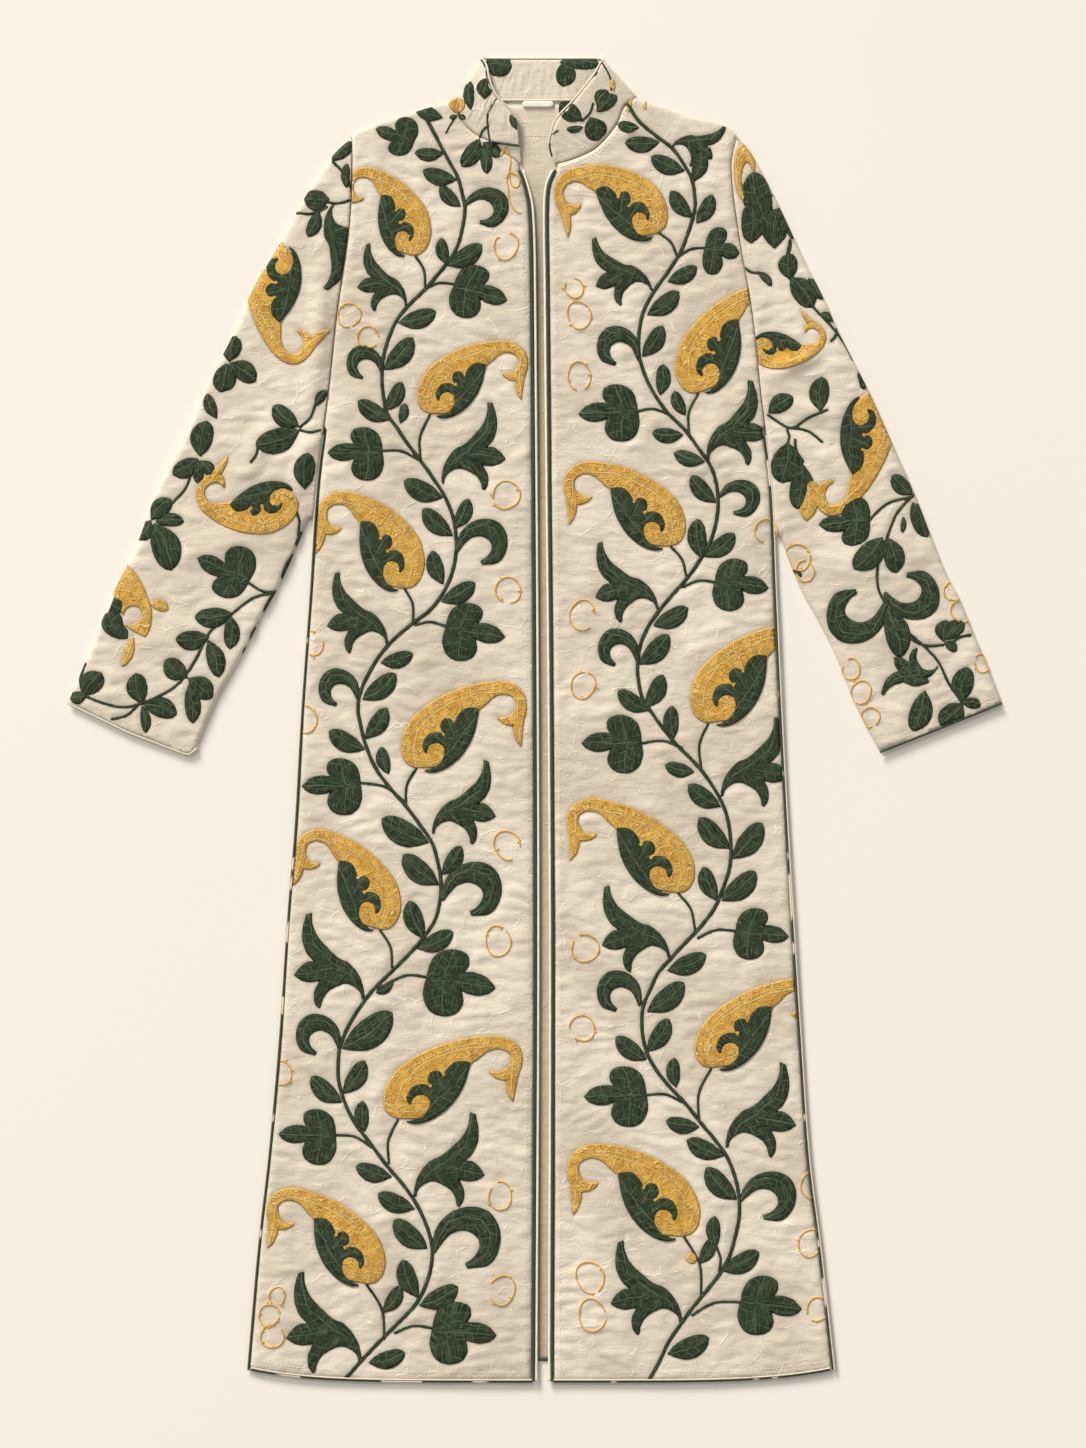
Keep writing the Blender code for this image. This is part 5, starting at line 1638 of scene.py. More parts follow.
def shade_group(name, inputs, outputs):
    group = bpy.data.node_groups.new(name, "ShaderNodeTree")
    for label, kind, value in inputs:
        socket = group.interface.new_socket(name=label, in_out="INPUT", socket_type=kind)
        if value is not None:
            socket.default_value = value
    for label, kind in outputs:
        group.interface.new_socket(name=label, in_out="OUTPUT", socket_type=kind)
    wires = Wires(group)
    return group, wires, wires.add("NodeGroupInput")


def math_node(wires, operation, first, second=0.0, clamp=False):
    return wires.add("ShaderNodeMath", {0: first, 1: second}, operation=operation, use_clamp=clamp).outputs[0]


def mixed(wires, factor, first, second):
    node = wires.add("ShaderNodeMix", {0: factor, 6: first, 7: second}, data_type="RGBA")
    return node.outputs[2]


def ramped(wires, value, low, high):
    """0 below low, 1 above high, and smooth between."""
    node = wires.add(
        "ShaderNodeMapRange", {0: value, 1: low, 2: high, 3: 0.0, 4: 1.0}, interpolation_type="SMOOTHSTEP"
    )
    return node.outputs[0]


def noise_node(wires, vector, scale, detail=2.0, rough=0.5):
    node = wires.add("ShaderNodeTexNoise", {"Vector": vector, "Scale": scale, "Detail": detail, "Roughness": rough})
    return node.outputs["Fac"]


def weave_group():
    """Plain cloth: fine threads both ways, slubs, and a soft unevenness."""
    group, wires, source = shade_group(
        "weave",
        [("Vector", "NodeSocketVector", None), ("Thread", "NodeSocketFloat", 0.0007)],
        [("Height", "NodeSocketFloat"), ("Slubs", "NodeSocketFloat")],
    )
    scale = math_node(wires, "DIVIDE", 1.0, source.outputs["Thread"])
    spot = wires.add("ShaderNodeVectorMath", {0: source.outputs["Vector"], "Scale": scale}, operation="SCALE")
    parts = wires.add("ShaderNodeSeparateXYZ", {0: spot.outputs[0]})
    across = math_node(wires, "SINE", math_node(wires, "MULTIPLY", parts.outputs["X"], math.tau))
    down = math_node(wires, "SINE", math_node(wires, "MULTIPLY", parts.outputs["Y"], math.tau))
    threads = math_node(wires, "MULTIPLY", across, down)
    long_x = wires.add("ShaderNodeVectorMath", {0: spot.outputs[0], 1: (0.05, 0.9, 1.0)}, operation="MULTIPLY")
    long_y = wires.add("ShaderNodeVectorMath", {0: spot.outputs[0], 1: (0.9, 0.05, 1.0)}, operation="MULTIPLY")
    slubs_x = noise_node(wires, long_x.outputs[0], 1.0)
    slubs_y = noise_node(wires, long_y.outputs[0], 1.0)
    slubs = math_node(wires, "MULTIPLY", math_node(wires, "ADD", slubs_x, slubs_y), 0.5)
    height = math_node(wires, "ADD", math_node(wires, "MULTIPLY", threads, 0.25), slubs)
    wires.add("NodeGroupOutput", {"Height": height, "Slubs": slubs})
    return group


def crackle_group():
    """Thin uneven lines round cells, fading out here and there."""
    group, wires, source = shade_group(
        "crackle",
        [
            ("Vector", "NodeSocketVector", None),
            ("Cells", "NodeSocketFloat", 150.0),
            ("Width", "NodeSocketFloat", 0.06),
            ("Broken", "NodeSocketFloat", 0.45),
        ],
        [("Lines", "NodeSocketFloat")],
    )
    warp = wires.add("ShaderNodeTexNoise", {"Vector": source.outputs["Vector"], "Scale": 90.0, "Detail": 2.0})
    bend = wires.add("ShaderNodeVectorMath", {0: warp.outputs["Color"], "Scale": 0.006}, operation="SCALE")
    moved = wires.add("ShaderNodeVectorMath", {0: source.outputs["Vector"], 1: bend.outputs[0]}, operation="ADD")
    cells = wires.add(
        "ShaderNodeTexVoronoi",
        {"Vector": moved.outputs[0], "Scale": source.outputs["Cells"], "Randomness": 1.0},
        feature="DISTANCE_TO_EDGE",
    )
    near = math_node(wires, "DIVIDE", cells.outputs["Distance"], source.outputs["Width"])
    line = math_node(wires, "SUBTRACT", 1.0, near, clamp=True)
    faded = noise_node(wires, source.outputs["Vector"], 70.0)
    shown = ramped(wires, faded, source.outputs["Broken"], 0.62)
    wires.add("NodeGroupOutput", {"Lines": math_node(wires, "MULTIPLY", line, shown)})
    return group


def vein_group():
    """Sewn lines on a motif, from millimetres along its spine and across it: a middle line, and ribs."""
    group, wires, source = shade_group(
        "veins",
        [
            ("Along", "NodeSocketFloat", 0.0),
            ("Across", "NodeSocketFloat", 0.0),
            ("Vector", "NodeSocketVector", None),
            ("Step", "NodeSocketFloat", 9.0),
            ("Tint", "NodeSocketFloat", 0.0),
        ],
        [("Lines", "NodeSocketFloat"), ("Strokes", "NodeSocketFloat")],
    )
    drift = noise_node(wires, source.outputs["Vector"], 45.0)
    drift = math_node(wires, "MULTIPLY", math_node(wires, "SUBTRACT", drift, 0.5), 5.0)
    off = math_node(wires, "ABSOLUTE", math_node(wires, "ADD", source.outputs["Across"], drift))
    middle = math_node(wires, "SUBTRACT", 1.0, ramped(wires, off, 0.3, 0.8))
    lean = math_node(wires, "MULTIPLY", math_node(wires, "ABSOLUTE", source.outputs["Across"]), 0.35)
    way = math_node(wires, "ADD", math_node(wires, "SUBTRACT", source.outputs["Along"], lean), drift)
    side = math_node(wires, "MULTIPLY", math_node(wires, "SIGN", source.outputs["Across"]), 2.2)
    way = math_node(wires, "ADD", way, side)
    way = math_node(wires, "ADD", way, math_node(wires, "MULTIPLY", source.outputs["Tint"], 9.0))
    half = math_node(wires, "MULTIPLY", source.outputs["Step"], 0.5)
    rib = math_node(wires, "PINGPONG", way, half)
    rib = math_node(wires, "SUBTRACT", 1.0, ramped(wires, rib, 0.25, 0.7))
    faded = ramped(wires, noise_node(wires, source.outputs["Vector"], 60.0), 0.36, 0.54)
    rib = math_node(wires, "MULTIPLY", rib, faded)
    shown = ramped(wires, noise_node(wires, source.outputs["Vector"], 38.0), 0.25, 0.42)
    middle = math_node(wires, "MULTIPLY", middle, shown)
    lines = math_node(wires, "MAXIMUM", middle, rib)
    strip = wires.add("ShaderNodeCombineXYZ", {
        "X": math_node(wires, "MULTIPLY", source.outputs["Along"], 0.09),
        "Y": math_node(wires, "MULTIPLY", math_node(wires, "ADD", source.outputs["Across"], drift), 1.1),
        "Z": math_node(wires, "MULTIPLY", source.outputs["Tint"], 13.0),
    })
    strokes = noise_node(wires, strip.outputs[0], 1.0, 3.0, 0.6)
    wires.add("NodeGroupOutput", {"Lines": lines, "Strokes": strokes})
    return group


class Finish:
    """A material being wired up: its nodes, its object coordinates and its shader."""

    def __init__(self, name, roughness, sheen=0.0):
        self.made = bpy.data.materials.new(name)
        self.made.use_nodes = True
        self.wires = Wires(self.made.node_tree)
        self.shader = self.made.node_tree.nodes["Principled BSDF"]
        self.shader.inputs["Roughness"].default_value = roughness
        self.shader.inputs["Specular IOR Level"].default_value = 0.25
        self.shader.inputs["Sheen Weight"].default_value = sheen
        self.spot = self.wires.add("ShaderNodeTexCoord").outputs["Object"]

    def group(self, group, **inputs):
        node = self.wires.add("ShaderNodeGroup")
        node.node_tree = group
        for key, value in inputs.items():
            if isinstance(value, bpy.types.NodeSocket):
                self.wires.tree.links.new(value, node.inputs[key])
            else:
                node.inputs[key].default_value = value
        return node

    def attribute(self, name):
        return self.wires.add("ShaderNodeAttribute", attribute_name=name).outputs["Fac"]

    def colour(self, socket):
        self.wires.tree.links.new(socket, self.shader.inputs["Base Color"])

    def bump(self, height, strength, distance):
        node = self.wires.add("ShaderNodeBump", {"Height": height, "Strength": strength, "Distance": distance})
        self.wires.tree.links.new(node.outputs[0], self.shader.inputs["Normal"])


def cloth_finish(name, weave, crackle, light, dark, painted_motif_shade, below=None):
    finish = Finish(name, 0.92, 0.1)
    wires = finish.wires
    woven = finish.group(weave, Vector=finish.spot)
    mottle = noise_node(wires, finish.spot, 9.0, 3.0, 0.6)
    tone = ramped(wires, mottle, 0.35, 0.65)
    colour = mixed(wires, tone, (*light, 1), (*dark, 1))
    fine = math_node(wires, "MULTIPLY", woven.outputs["Slubs"], 0.22)
    colour = mixed(wires, fine, colour, tuple(0.8 * c for c in dark) + (1,))
    lines = finish.group(crackle, Vector=finish.spot, Cells=38.0, Width=0.035, Broken=0.5).outputs["Lines"]
    colour = mixed(wires, math_node(wires, "MULTIPLY", lines, 0.5), colour, tuple(min(1, 1.16 * c) for c in light) + (1,))
    if painted_motif_shade:
        # painted shade: the cloth is darker within about 3 mm of each motif, where the raised embroidery shades it
        near = finish.attribute("near")
        shade = math_node(wires, "SUBTRACT", 1.0, ramped(wires, near, 0.0, 3.2))
        colour = mixed(wires, math_node(wires, "MULTIPLY", shade, 0.35), colour, tuple(0.62 * c for c in dark) + (1,))
    if below:
        # painted shadow: below the open neck the lining is darkened between the fronts, darkest beside the right
        # front's edge and lighter across the gap
        place = wires.add("ShaderNodeSeparateXYZ", {0: finish.spot})
        open_neck = ramped(wires, place.outputs["Y"], GAP_SHADE_LOW * MM, GAP_SHADE_HIGH * MM)
        across = ramped(wires, place.outputs["X"], 0.0, GAP_SHADE_WIDTH * MM)
        shaded = mixed(wires, across, (*below[0], 1), (*below[1], 1))
        colour = mixed(wires, open_neck, shaded, colour)
    finish.colour(colour)
    small = noise_node(wires, finish.spot, 260.0, 3.0, 0.6)
    flat = wires.add("ShaderNodeVectorMath", {0: finish.spot, 1: (0.45, 1.0, 1.0)}, operation="MULTIPLY")
    drawn = noise_node(wires, flat.outputs[0], 95.0, 3.0, 0.55)
    height = math_node(wires, "ADD", math_node(wires, "MULTIPLY", small, 1.4), woven.outputs["Height"])
    height = math_node(wires, "ADD", height, math_node(wires, "MULTIPLY", lines, 1.6))
    height = math_node(wires, "ADD", height, math_node(wires, "MULTIPLY", drawn, 6.0))
    finish.bump(height, 0.6, 0.0005)
    return finish.made


def green_finish(name, weave, veins, deep, pale, line):
    finish = Finish(name, 0.86, 0.05)
    wires = finish.wires
    place = wires.add("ShaderNodeSeparateXYZ", {0: wires.add("ShaderNodeTexCoord").outputs["UV"]})
    tint = finish.attribute("tint")
    edge = finish.attribute("edge")
    sewn = finish.group(
        veins, Along=place.outputs["X"], Across=place.outputs["Y"], Vector=finish.spot, Tint=tint
    )
    woven = finish.group(weave, Vector=finish.spot, Thread=0.0009)
    strokes = ramped(wires, sewn.outputs["Strokes"], 0.40, 0.66)
    colour = mixed(wires, strokes, (*deep, 1), (*pale, 1))
    inside = ramped(wires, edge, 0.5, 2.0)
    lines = math_node(wires, "MULTIPLY", sewn.outputs["Lines"], inside)
    colour = mixed(wires, math_node(wires, "MULTIPLY", lines, 0.34), colour, (*line, 1))
    # painted shade: the green thread darkens towards the rounded rim of the raised pad
    rim = math_node(wires, "SUBTRACT", 1.0, ramped(wires, edge, 0.0, 1.3))
    colour = mixed(wires, math_node(wires, "MULTIPLY", rim, 0.45), colour, tuple(0.55 * c for c in deep) + (1,))
    finish.colour(colour)
    height = math_node(wires, "MULTIPLY", sewn.outputs["Strokes"], 5.0)
    height = math_node(wires, "ADD", height, math_node(wires, "MULTIPLY", lines, 1.4))
    height = math_node(wires, "ADD", height, math_node(wires, "MULTIPLY", woven.outputs["Height"], 0.5))
    finish.bump(height, 0.8, 0.0006)
    return finish.made


def yellow_finish(name, weave, veins, crackle, deep, mid, pale):
    finish = Finish(name, 0.8, 0.08)
    wires = finish.wires
    place = wires.add("ShaderNodeSeparateXYZ", {0: wires.add("ShaderNodeTexCoord").outputs["UV"]})
    tint = finish.attribute("tint")
    edge = finish.attribute("edge")
    sewn = finish.group(
        veins, Along=place.outputs["X"], Across=place.outputs["Y"], Vector=finish.spot, Tint=tint, Step=7.0
    )
    mottle = ramped(wires, noise_node(wires, finish.spot, 120.0, 4.0, 0.65), 0.35, 0.68)
    colour = mixed(wires, mottle, (*deep, 1), (*mid, 1))
    strokes = ramped(wires, sewn.outputs["Strokes"], 0.5, 0.75)
    colour = mixed(wires, math_node(wires, "MULTIPLY", strokes, 0.22), colour, (*pale, 1))
    cells = finish.group(crackle, Vector=finish.spot, Cells=115.0, Width=0.06, Broken=0.32).outputs["Lines"]
    wave = math_node(wires, "MULTIPLY", noise_node(wires, finish.spot, 60.0), 2.0)
    seam = math_node(wires, "PINGPONG", math_node(wires, "ADD", math_node(wires, "SUBTRACT", edge, 2.6), wave), 3.0)
    seam = math_node(wires, "SUBTRACT", 1.0, ramped(wires, seam, 0.2, 0.7))
    seam = math_node(wires, "MULTIPLY", seam, math_node(wires, "LESS_THAN", edge, 8.5))
    lines = math_node(wires, "MAXIMUM", cells, sewn.outputs["Lines"])
    lines = math_node(wires, "MAXIMUM", lines, math_node(wires, "MULTIPLY", seam, 0.8))
    lines = math_node(wires, "MULTIPLY", lines, ramped(wires, edge, 0.3, 1.4))
    colour = mixed(wires, math_node(wires, "MULTIPLY", lines, 0.75), colour, (*pale, 1))
    # painted shade: the yellow thread darkens towards the rounded rim of the raised pad
    rim = math_node(wires, "SUBTRACT", 1.0, ramped(wires, edge, 0.0, 1.0))
    colour = mixed(wires, math_node(wires, "MULTIPLY", rim, 0.4), colour, tuple(0.75 * c for c in deep) + (1,))
    finish.colour(colour)
    woven = finish.group(weave, Vector=finish.spot, Thread=0.0009)
    height = math_node(wires, "MULTIPLY", noise_node(wires, finish.spot, 420.0, 3.0, 0.6), 1.6)
    height = math_node(wires, "ADD", height, math_node(wires, "MULTIPLY", lines, 3.6))
    height = math_node(wires, "ADD", height, math_node(wires, "MULTIPLY", woven.outputs["Height"], 0.5))
    finish.bump(height, 0.9, 0.0006)
    return finish.made


def cord_finish(name, deep, pale, breaks, worn=0.0):
    """A cord's cover: twisted threads, with small breaks where stitches cross it and pale worn stretches."""
    finish = Finish(name, 0.85, 0.05)
    wires = finish.wires
    way = math_node(wires, "MULTIPLY", finish.attribute("along"), 1000.0)
    turned = math_node(wires, "SINE", math_node(wires, "MULTIPLY", way, math.tau / 1.6))
    drift = noise_node(wires, finish.spot, 120.0)
    notch = math_node(wires, "PINGPONG", math_node(wires, "ADD", way, math_node(wires, "MULTIPLY", drift, 9.0)), 4.5)
    notch = math_node(wires, "SUBTRACT", 1.0, math_node(wires, "DIVIDE", notch, 0.5), clamp=True)
    tone = math_node(wires, "ADD", math_node(wires, "MULTIPLY", turned, 0.15), drift, clamp=True)
    colour = mixed(wires, tone, (*deep, 1), (*pale, 1))
    colour = mixed(wires, math_node(wires, "MULTIPLY", notch, breaks), colour, tuple(min(1, 2.4 * c) for c in pale) + (1,))
    if worn:
        bare = ramped(wires, noise_node(wires, finish.spot, 22.0), 0.6, 0.64)
        colour = mixed(wires, math_node(wires, "MULTIPLY", bare, worn), colour, (0.80, 0.72, 0.59, 1))
    finish.colour(colour)
    finish.bump(math_node(wires, "SUBTRACT", math_node(wires, "MULTIPLY", turned, 0.3), notch), 0.5, 0.0004)
    return finish.made


def plain_finish(name, colour, roughness, sheen=0.0, grain=300.0):
    finish = Finish(name, roughness, sheen)
    wires = finish.wires
    tone = noise_node(wires, finish.spot, grain, 2.0)
    finish.colour(mixed(wires, tone, tuple(0.86 * c for c in colour) + (1,), tuple(min(1, 1.1 * c) for c in colour) + (1,)))
    return finish.made


def ride(made, *nodes, slot=None):
    if nodes:
        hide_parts(*nodes)
    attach(made, BODY_NAME)
    return made


def flat_area(outline):
    x = np.asarray(outline)[:, 0]
    y = np.asarray(outline)[:, 1]
    return abs((x * np.roll(y, -1) - np.roll(x, -1) * y).sum()) / 2 * MM * MM


def sewn_panel(panel, under=None):
    """The cloth and the embroidery of one panel."""
    cloth = bpy.data.materials["quilted cloth"]
    vertices, faces, near = panel.sewn(cloth)
    parts = [(vertices, faces)]
    if under is not None:
        low, low_faces, _ = shell(under, 9.0, lambda p, g: CLOTH * rounded(g + 0.5, 1.6), lambda p, g: 0.0 * g)
        parts.append((low, low_faces))
        near = np.concatenate((near, np.full(len(low), 20.0)))
    vertices, faces = joined(parts)
    made = made_mesh(f"{panel.name}_cloth", vertices, faces, [cloth], [("near", near)])
    ride(made, panel.name, slot="cloth")
    pieces = []
    for colour, finish in (("green", "green thread"), ("yellow", "yellow thread"), ("inner", "green thread")):
        motifs = [m for m in panel.motifs if m.colour == colour]
        name = f"{panel.name}_{colour}_embroidery"
        piece = embroidered(name, motifs, panel.outline, panel.height_at, [bpy.data.materials[finish]])
        pieces.append(ride(piece))
    return made, pieces


class KaftanSettings(bpy.types.PropertyGroup):
    stitch_spacing: bpy.props.FloatProperty(
        name="Stitch spacing",
        description="Step from one stitch to the next in the sewn lines",
        default=0.0042,
        min=0.001,
        unit="LENGTH",
    )
    ring_spacing: bpy.props.FloatProperty(
        name="Ring stitch spacing",
        description="Step from one stitch to the next in the yellow rings",
        default=0.0017,
        min=0.001,
        unit="LENGTH",
    )
    ring_width: bpy.props.FloatProperty(
        name="Ring thread width",
        description="How wide the yellow thread of the rings is",
        default=0.0017,
        min=0.0002,
        unit="LENGTH",
    )
    thread_width: bpy.props.FloatProperty(
        name="Sewing thread width",
        description="How wide the pale sewing thread is",
        default=0.0006,
        min=0.0002,
        unit="LENGTH",
    )
    key_power: bpy.props.FloatProperty(
        name="Key light",
        description="Power of the wide light at the upper left that lets the floor darken slowly, in watts",
        default=78.0,
        min=0.0,
    )
    sun_strength: bpy.props.FloatProperty(
        name="Low light",
        description="Strength of the low soft light from above the collar that draws the shadows",
        default=3.7,
        min=0.0,
    )
    sky_strength: bpy.props.FloatProperty(
        name="Sky light",
        description="Strength of the even light from all round",
        default=0.46,
        min=0.0,
    )
    lens: bpy.props.FloatProperty(
        name="Lens",
        description="Focal length of the camera, in millimetres",
        default=120.0,
        min=10.0,
    )


class KAFTAN_OT_materials(bpy.types.Operator):
    """Wires up the cloth, embroidery, cord and thread materials"""

    bl_idname = "kaftan.make_materials"
    bl_label = "Make materials"

    def execute(self, context):
        weave = weave_group()
        crackle = crackle_group()
        veins = vein_group()
        cloth_finish("quilted cloth", weave, crackle, (0.81, 0.728, 0.595), (0.67, 0.585, 0.46), True)
        # The lining's last pair are its painted shadow colours between the fronts, darkest and lightest
        cloth_finish("lining cloth", weave, crackle, (0.76, 0.67, 0.53), (0.66, 0.57, 0.44), False, ((0.21, 0.155, 0.095), (0.58, 0.48, 0.34)))
        cloth_finish("collar cloth", weave, crackle, (0.77, 0.69, 0.555), (0.66, 0.575, 0.455), False)
        green_finish("green thread", weave, veins, (0.010, 0.022, 0.008), (0.070, 0.106, 0.048), (0.23, 0.28, 0.16))
        yellow_finish(
            "yellow thread", weave, veins, crackle, (0.53, 0.26, 0.024), (0.77, 0.44, 0.070), (0.95, 0.69, 0.27)
        )
        cord_finish("green cord", (0.020, 0.040, 0.024), (0.045, 0.075, 0.045), 0.35)
        cord_finish("worn cord", (0.020, 0.040, 0.024), (0.045, 0.075, 0.045), 0.35, 0.9)
        cord_finish("cream cord", (0.66, 0.57, 0.44), (0.80, 0.72, 0.60), 0.0)
        plain_finish("cream binding", (0.84, 0.77, 0.66), 0.88, 0.1)
        plain_finish("yellow stitch", (0.70, 0.42, 0.09), 0.75, 0.0, 900.0)
        plain_finish("pale stitch", (0.80, 0.72, 0.58), 0.85, 0.0, 900.0)
        return {"FINISHED"}


class KAFTAN_OT_back(bpy.types.Operator):
    """Makes the back panel and the hanger loop under its neck seam"""

    bl_idname = "kaftan.make_back"
    bl_label = "Make back"

    def execute(self, context):
        lining = bpy.data.materials["lining cloth"]

        def top_at(spots, gaps):
            uneven = np.array([noise.noise(Vector((x / 30, y / 22, 41.0))) for x, y in spots.tolist()])
            return CLOTH * rounded(gaps + 0.5, 2.0) + 0.25 * uneven * np.clip(gaps / 4, 0, 1) - 0.25

        outline = back_outline()
        vertices, faces, _ = shell(outline, 5.0, top_at, lambda spots, gaps: 0.0 * gaps)
        made = made_mesh("back_cloth", vertices, faces, [lining])
        ride(made, "back", slot="lining")
        flat_area(outline)
        x, y, length, width = HANGER
        half = width / 2
        ends = []
        for centre, start in ((x + length / 2 - half, -90), (x - length / 2 + half, 90)):
            for k in range(9):
                angle = math.radians(start + 22.5 * k)
                ends.append((centre + half * math.cos(angle), y + half * math.sin(angle)))
        loop = evenly(ends + ends[:1], 1.5)[:-1]
        vertices, faces, _ = shell(
            loop,
            1.4,
            lambda spots, gaps: FRONT_LEVEL + CLOTH * rounded(gaps + 0.2, 1.6) - 0.3 * np.exp(-(((spots[:, 1] - y) / 0.9) ** 2)),
            lambda spots, gaps: FRONT_LEVEL + 0.0 * gaps,
        )
        strap = made_mesh("hanger_loop_cloth", vertices, faces, [bpy.data.materials["cream binding"]])
        ride(strap, "hanger_loop", slot="lining")
        return {"FINISHED"}


class KAFTAN_OT_fronts(bpy.types.Operator):
    """Makes the two fronts with their vines, leaves and paisleys"""

    bl_idname = "kaftan.make_fronts"
    bl_label = "Make fronts"

    def execute(self, context):
        for side in ("right", "left"):
            panel = front_panel(side)
            made, pieces = sewn_panel(panel)
            flat_area(panel.outline)
        return {"FINISHED"}


class KAFTAN_OT_sleeves(bpy.types.Operator):
    """Makes the two sleeves, each a flat tube with its embroidered side up"""

    bl_idname = "kaftan.make_sleeves"
    bl_label = "Make sleeves"

    def execute(self, context):
        for side in ("right", "left"):
            panel = sleeve_panel(side)
            flagged = list(np.flatnonzero(np.isin(panel.sides[0], panel.rolled[0]).all(axis=1)))
            under = inset_outline(panel.outline, flagged, 3.4)
            made, pieces = sewn_panel(panel, under)
            flat_area(panel.outline) + flat_area(under)
        return {"FINISHED"}


class KAFTAN_OT_collar(bpy.types.Operator):
    """Makes the stand collar, its turned-back end and the embroidery on it"""

    bl_idname = "kaftan.make_collar"
    bl_label = "Make collar"

    def execute(self, context):
        cloth = bpy.data.materials["collar cloth"]
        vertices, faces = lofted(COLLAR, 240, 16, CLOTH, 2.0, 2.2)
        made = made_mesh("collar_cloth", vertices, faces, [cloth])
        ride(made, "collar", slot="cloth")
        vertices, faces = lofted(COLLAR_TAB, 26, 22, CLOTH, 5.0, 1.6)
        tab = made_mesh("collar_tab_cloth", vertices, faces, [cloth])
        ride(tab, "collar_tab", slot="lining")
        surface = Surface(("collar_cloth", "collar_tab_cloth", "front_right_cloth", "front_left_cloth"))
        motifs = single_motifs(MOTIFS_COLLAR, COLLAR_STEMS, 2.6)

        def height_at(spots):
            return np.array([surface.height(x, y, 2.0) for x, y in spots.tolist()])

        clip = [(-100, 540), (120, 540), (120, 662), (-100, 662)]
        for colour in ("green", "yellow"):
            some = [m for m in motifs if m.colour == colour]
            finish = bpy.data.materials[f"{colour} thread"]
            piece = embroidered(f"collar_{colour}_embroidery", some, clip, height_at, [finish])
            ride(piece)
        return {"FINISHED"}


class KAFTAN_OT_trims(bpy.types.Operator):
    """Runs the pipings and bindings along the edges, hems, sides, cuffs and collar"""

    bl_idname = "kaftan.make_trims"
    bl_label = "Make trims"

    def execute(self, context):
        group = piping_group()
        green = bpy.data.materials["green cord"]
        worn = bpy.data.materials["worn cord"]
        cream = bpy.data.materials["cream cord"]

        def piped(name, path, radius, finish, slot):
            made = along_curves(name + "_cord", [path], group, finish, radius=radius * MM, sides=10)
            ride(made, name, slot=slot)

        lips = []
        for side, column, folds in (("right", 1, FOLDS_FRONT_RIGHT), ("left", 2, FOLDS_FRONT_LEFT)):
            low = hem_at(read(FRONT_EDGES, HEM_Y, column)) + 1.0
            at = BINDING_WIDTH + SEAM + PIPING_RADIUS
            path = front_edge_points(column, at, low, 551)
            path = lifted(path, folds, FRONT_LEVEL + PIPING_RADIUS + 0.4)
            piped(f"edge_piping_{side}", path, PIPING_RADIUS, green, "green_piping")
            rows = []
            near = lifted(front_edge_points(column, 0.0, low, 551), folds, FRONT_LEVEL + CLOTH / 2 + 0.3)
            far = lifted(front_edge_points(column, BINDING_WIDTH, low, 551), folds, FRONT_LEVEL + CLOTH / 2 + 0.3)
            if column == 1:
                near, far = far, near
            rows = [(*a, *b) for a, b in zip(near, far)]
            vertices, faces = lofted(rows, 420, 4, CLOTH, 9.0)
            binding = made_mesh(f"edge_binding_{side}_strip", vertices, faces, [bpy.data.materials["cream binding"]])
            ride(binding, f"edge_binding_{side}", slot="cream_binding")
            line = side_points(column, SIDE_LOW, UNDERARM_Y, 1.9)
            line = [(x, y) for x, y in line if y < UNDERARM_Y]
            path = lifted(line, folds, FRONT_LEVEL + THIN_PIPING_RADIUS)
            piped(f"side_piping_{side}", path, THIN_PIPING_RADIUS, worn, "green_piping")
            away = 1 if column == 1 else -1
            inner = read(FRONT_EDGES, HEM_Y, column) - away * at
            hem = [(x, hem_at(x) + 0.6) for x in steps_between(line[0][0] + away * 3, inner - away * 1.5, EDGE_STEP)]
            path = lifted(hem, folds, FRONT_LEVEL + THIN_PIPING_RADIUS)
            piped(f"hem_piping_{side}", path, THIN_PIPING_RADIUS, worn, "green_piping")
            lip = [(x, y + LIP_RISE) for x, y in hem]
            lips.append(lifted(lip, folds, FRONT_LEVEL + CLOTH - 0.2))
            lip = [(x - away * LIP_SIDE, y) for x, y in line]
            lips.append(lifted(lip, folds, FRONT_LEVEL + THIN_PIPING_RADIUS))
        lips.append([(x, NECK_LIP_Y, CLOTH + 0.5) for x in steps_between(-37, 36, EDGE_STEP)])
        ride(along_curves("turned_edges", lips, group, cream, radius=LIP_RADIUS * MM, sides=8))
        path = [(x, back_hem_at(x) - 1.4, THIN_PIPING_RADIUS) for x in steps_between(-278, 290, EDGE_STEP)]
        piped("hem_piping_back", path, THIN_PIPING_RADIUS, green, "green_piping")
        for side, cuff, folds, finish, slot in (
            ("right", CUFF_RIGHT, FOLDS_SLEEVE_RIGHT, cream, "cream_binding"),
            ("left", CUFF_LEFT, FOLDS_SLEEVE_LEFT, green, "green_piping"),
        ):
            drop = THIN_PIPING_RADIUS + SEAM
            path = lifted([(x, y - drop) for x, y in evenly(list(cuff), EDGE_STEP)], folds, SLEEVE_LEVEL + 0.8)
            path = [(x, y, max(THIN_PIPING_RADIUS, z)) for x, y, z in path]
            piped(f"cuff_piping_{side}", path, THIN_PIPING_RADIUS, finish, slot)
        path = []
        lines = evenly(smooth(COLLAR, 300), 2.5)
        for i, row in enumerate(lines):
            low, high = Vector(row[:3]), Vector(row[3:])
            along = Vector(lines[min(i + 1, len(lines) - 1)][3:]) - Vector(lines[max(i - 1, 0)][3:])
            out = high - low
            out -= out.project(along)
            path.append(tuple(high + out.normalized() * 1.6))
        piped("collar_piping", path, THIN_PIPING_RADIUS, cream, "cream_binding")
        return {"FINISHED"}


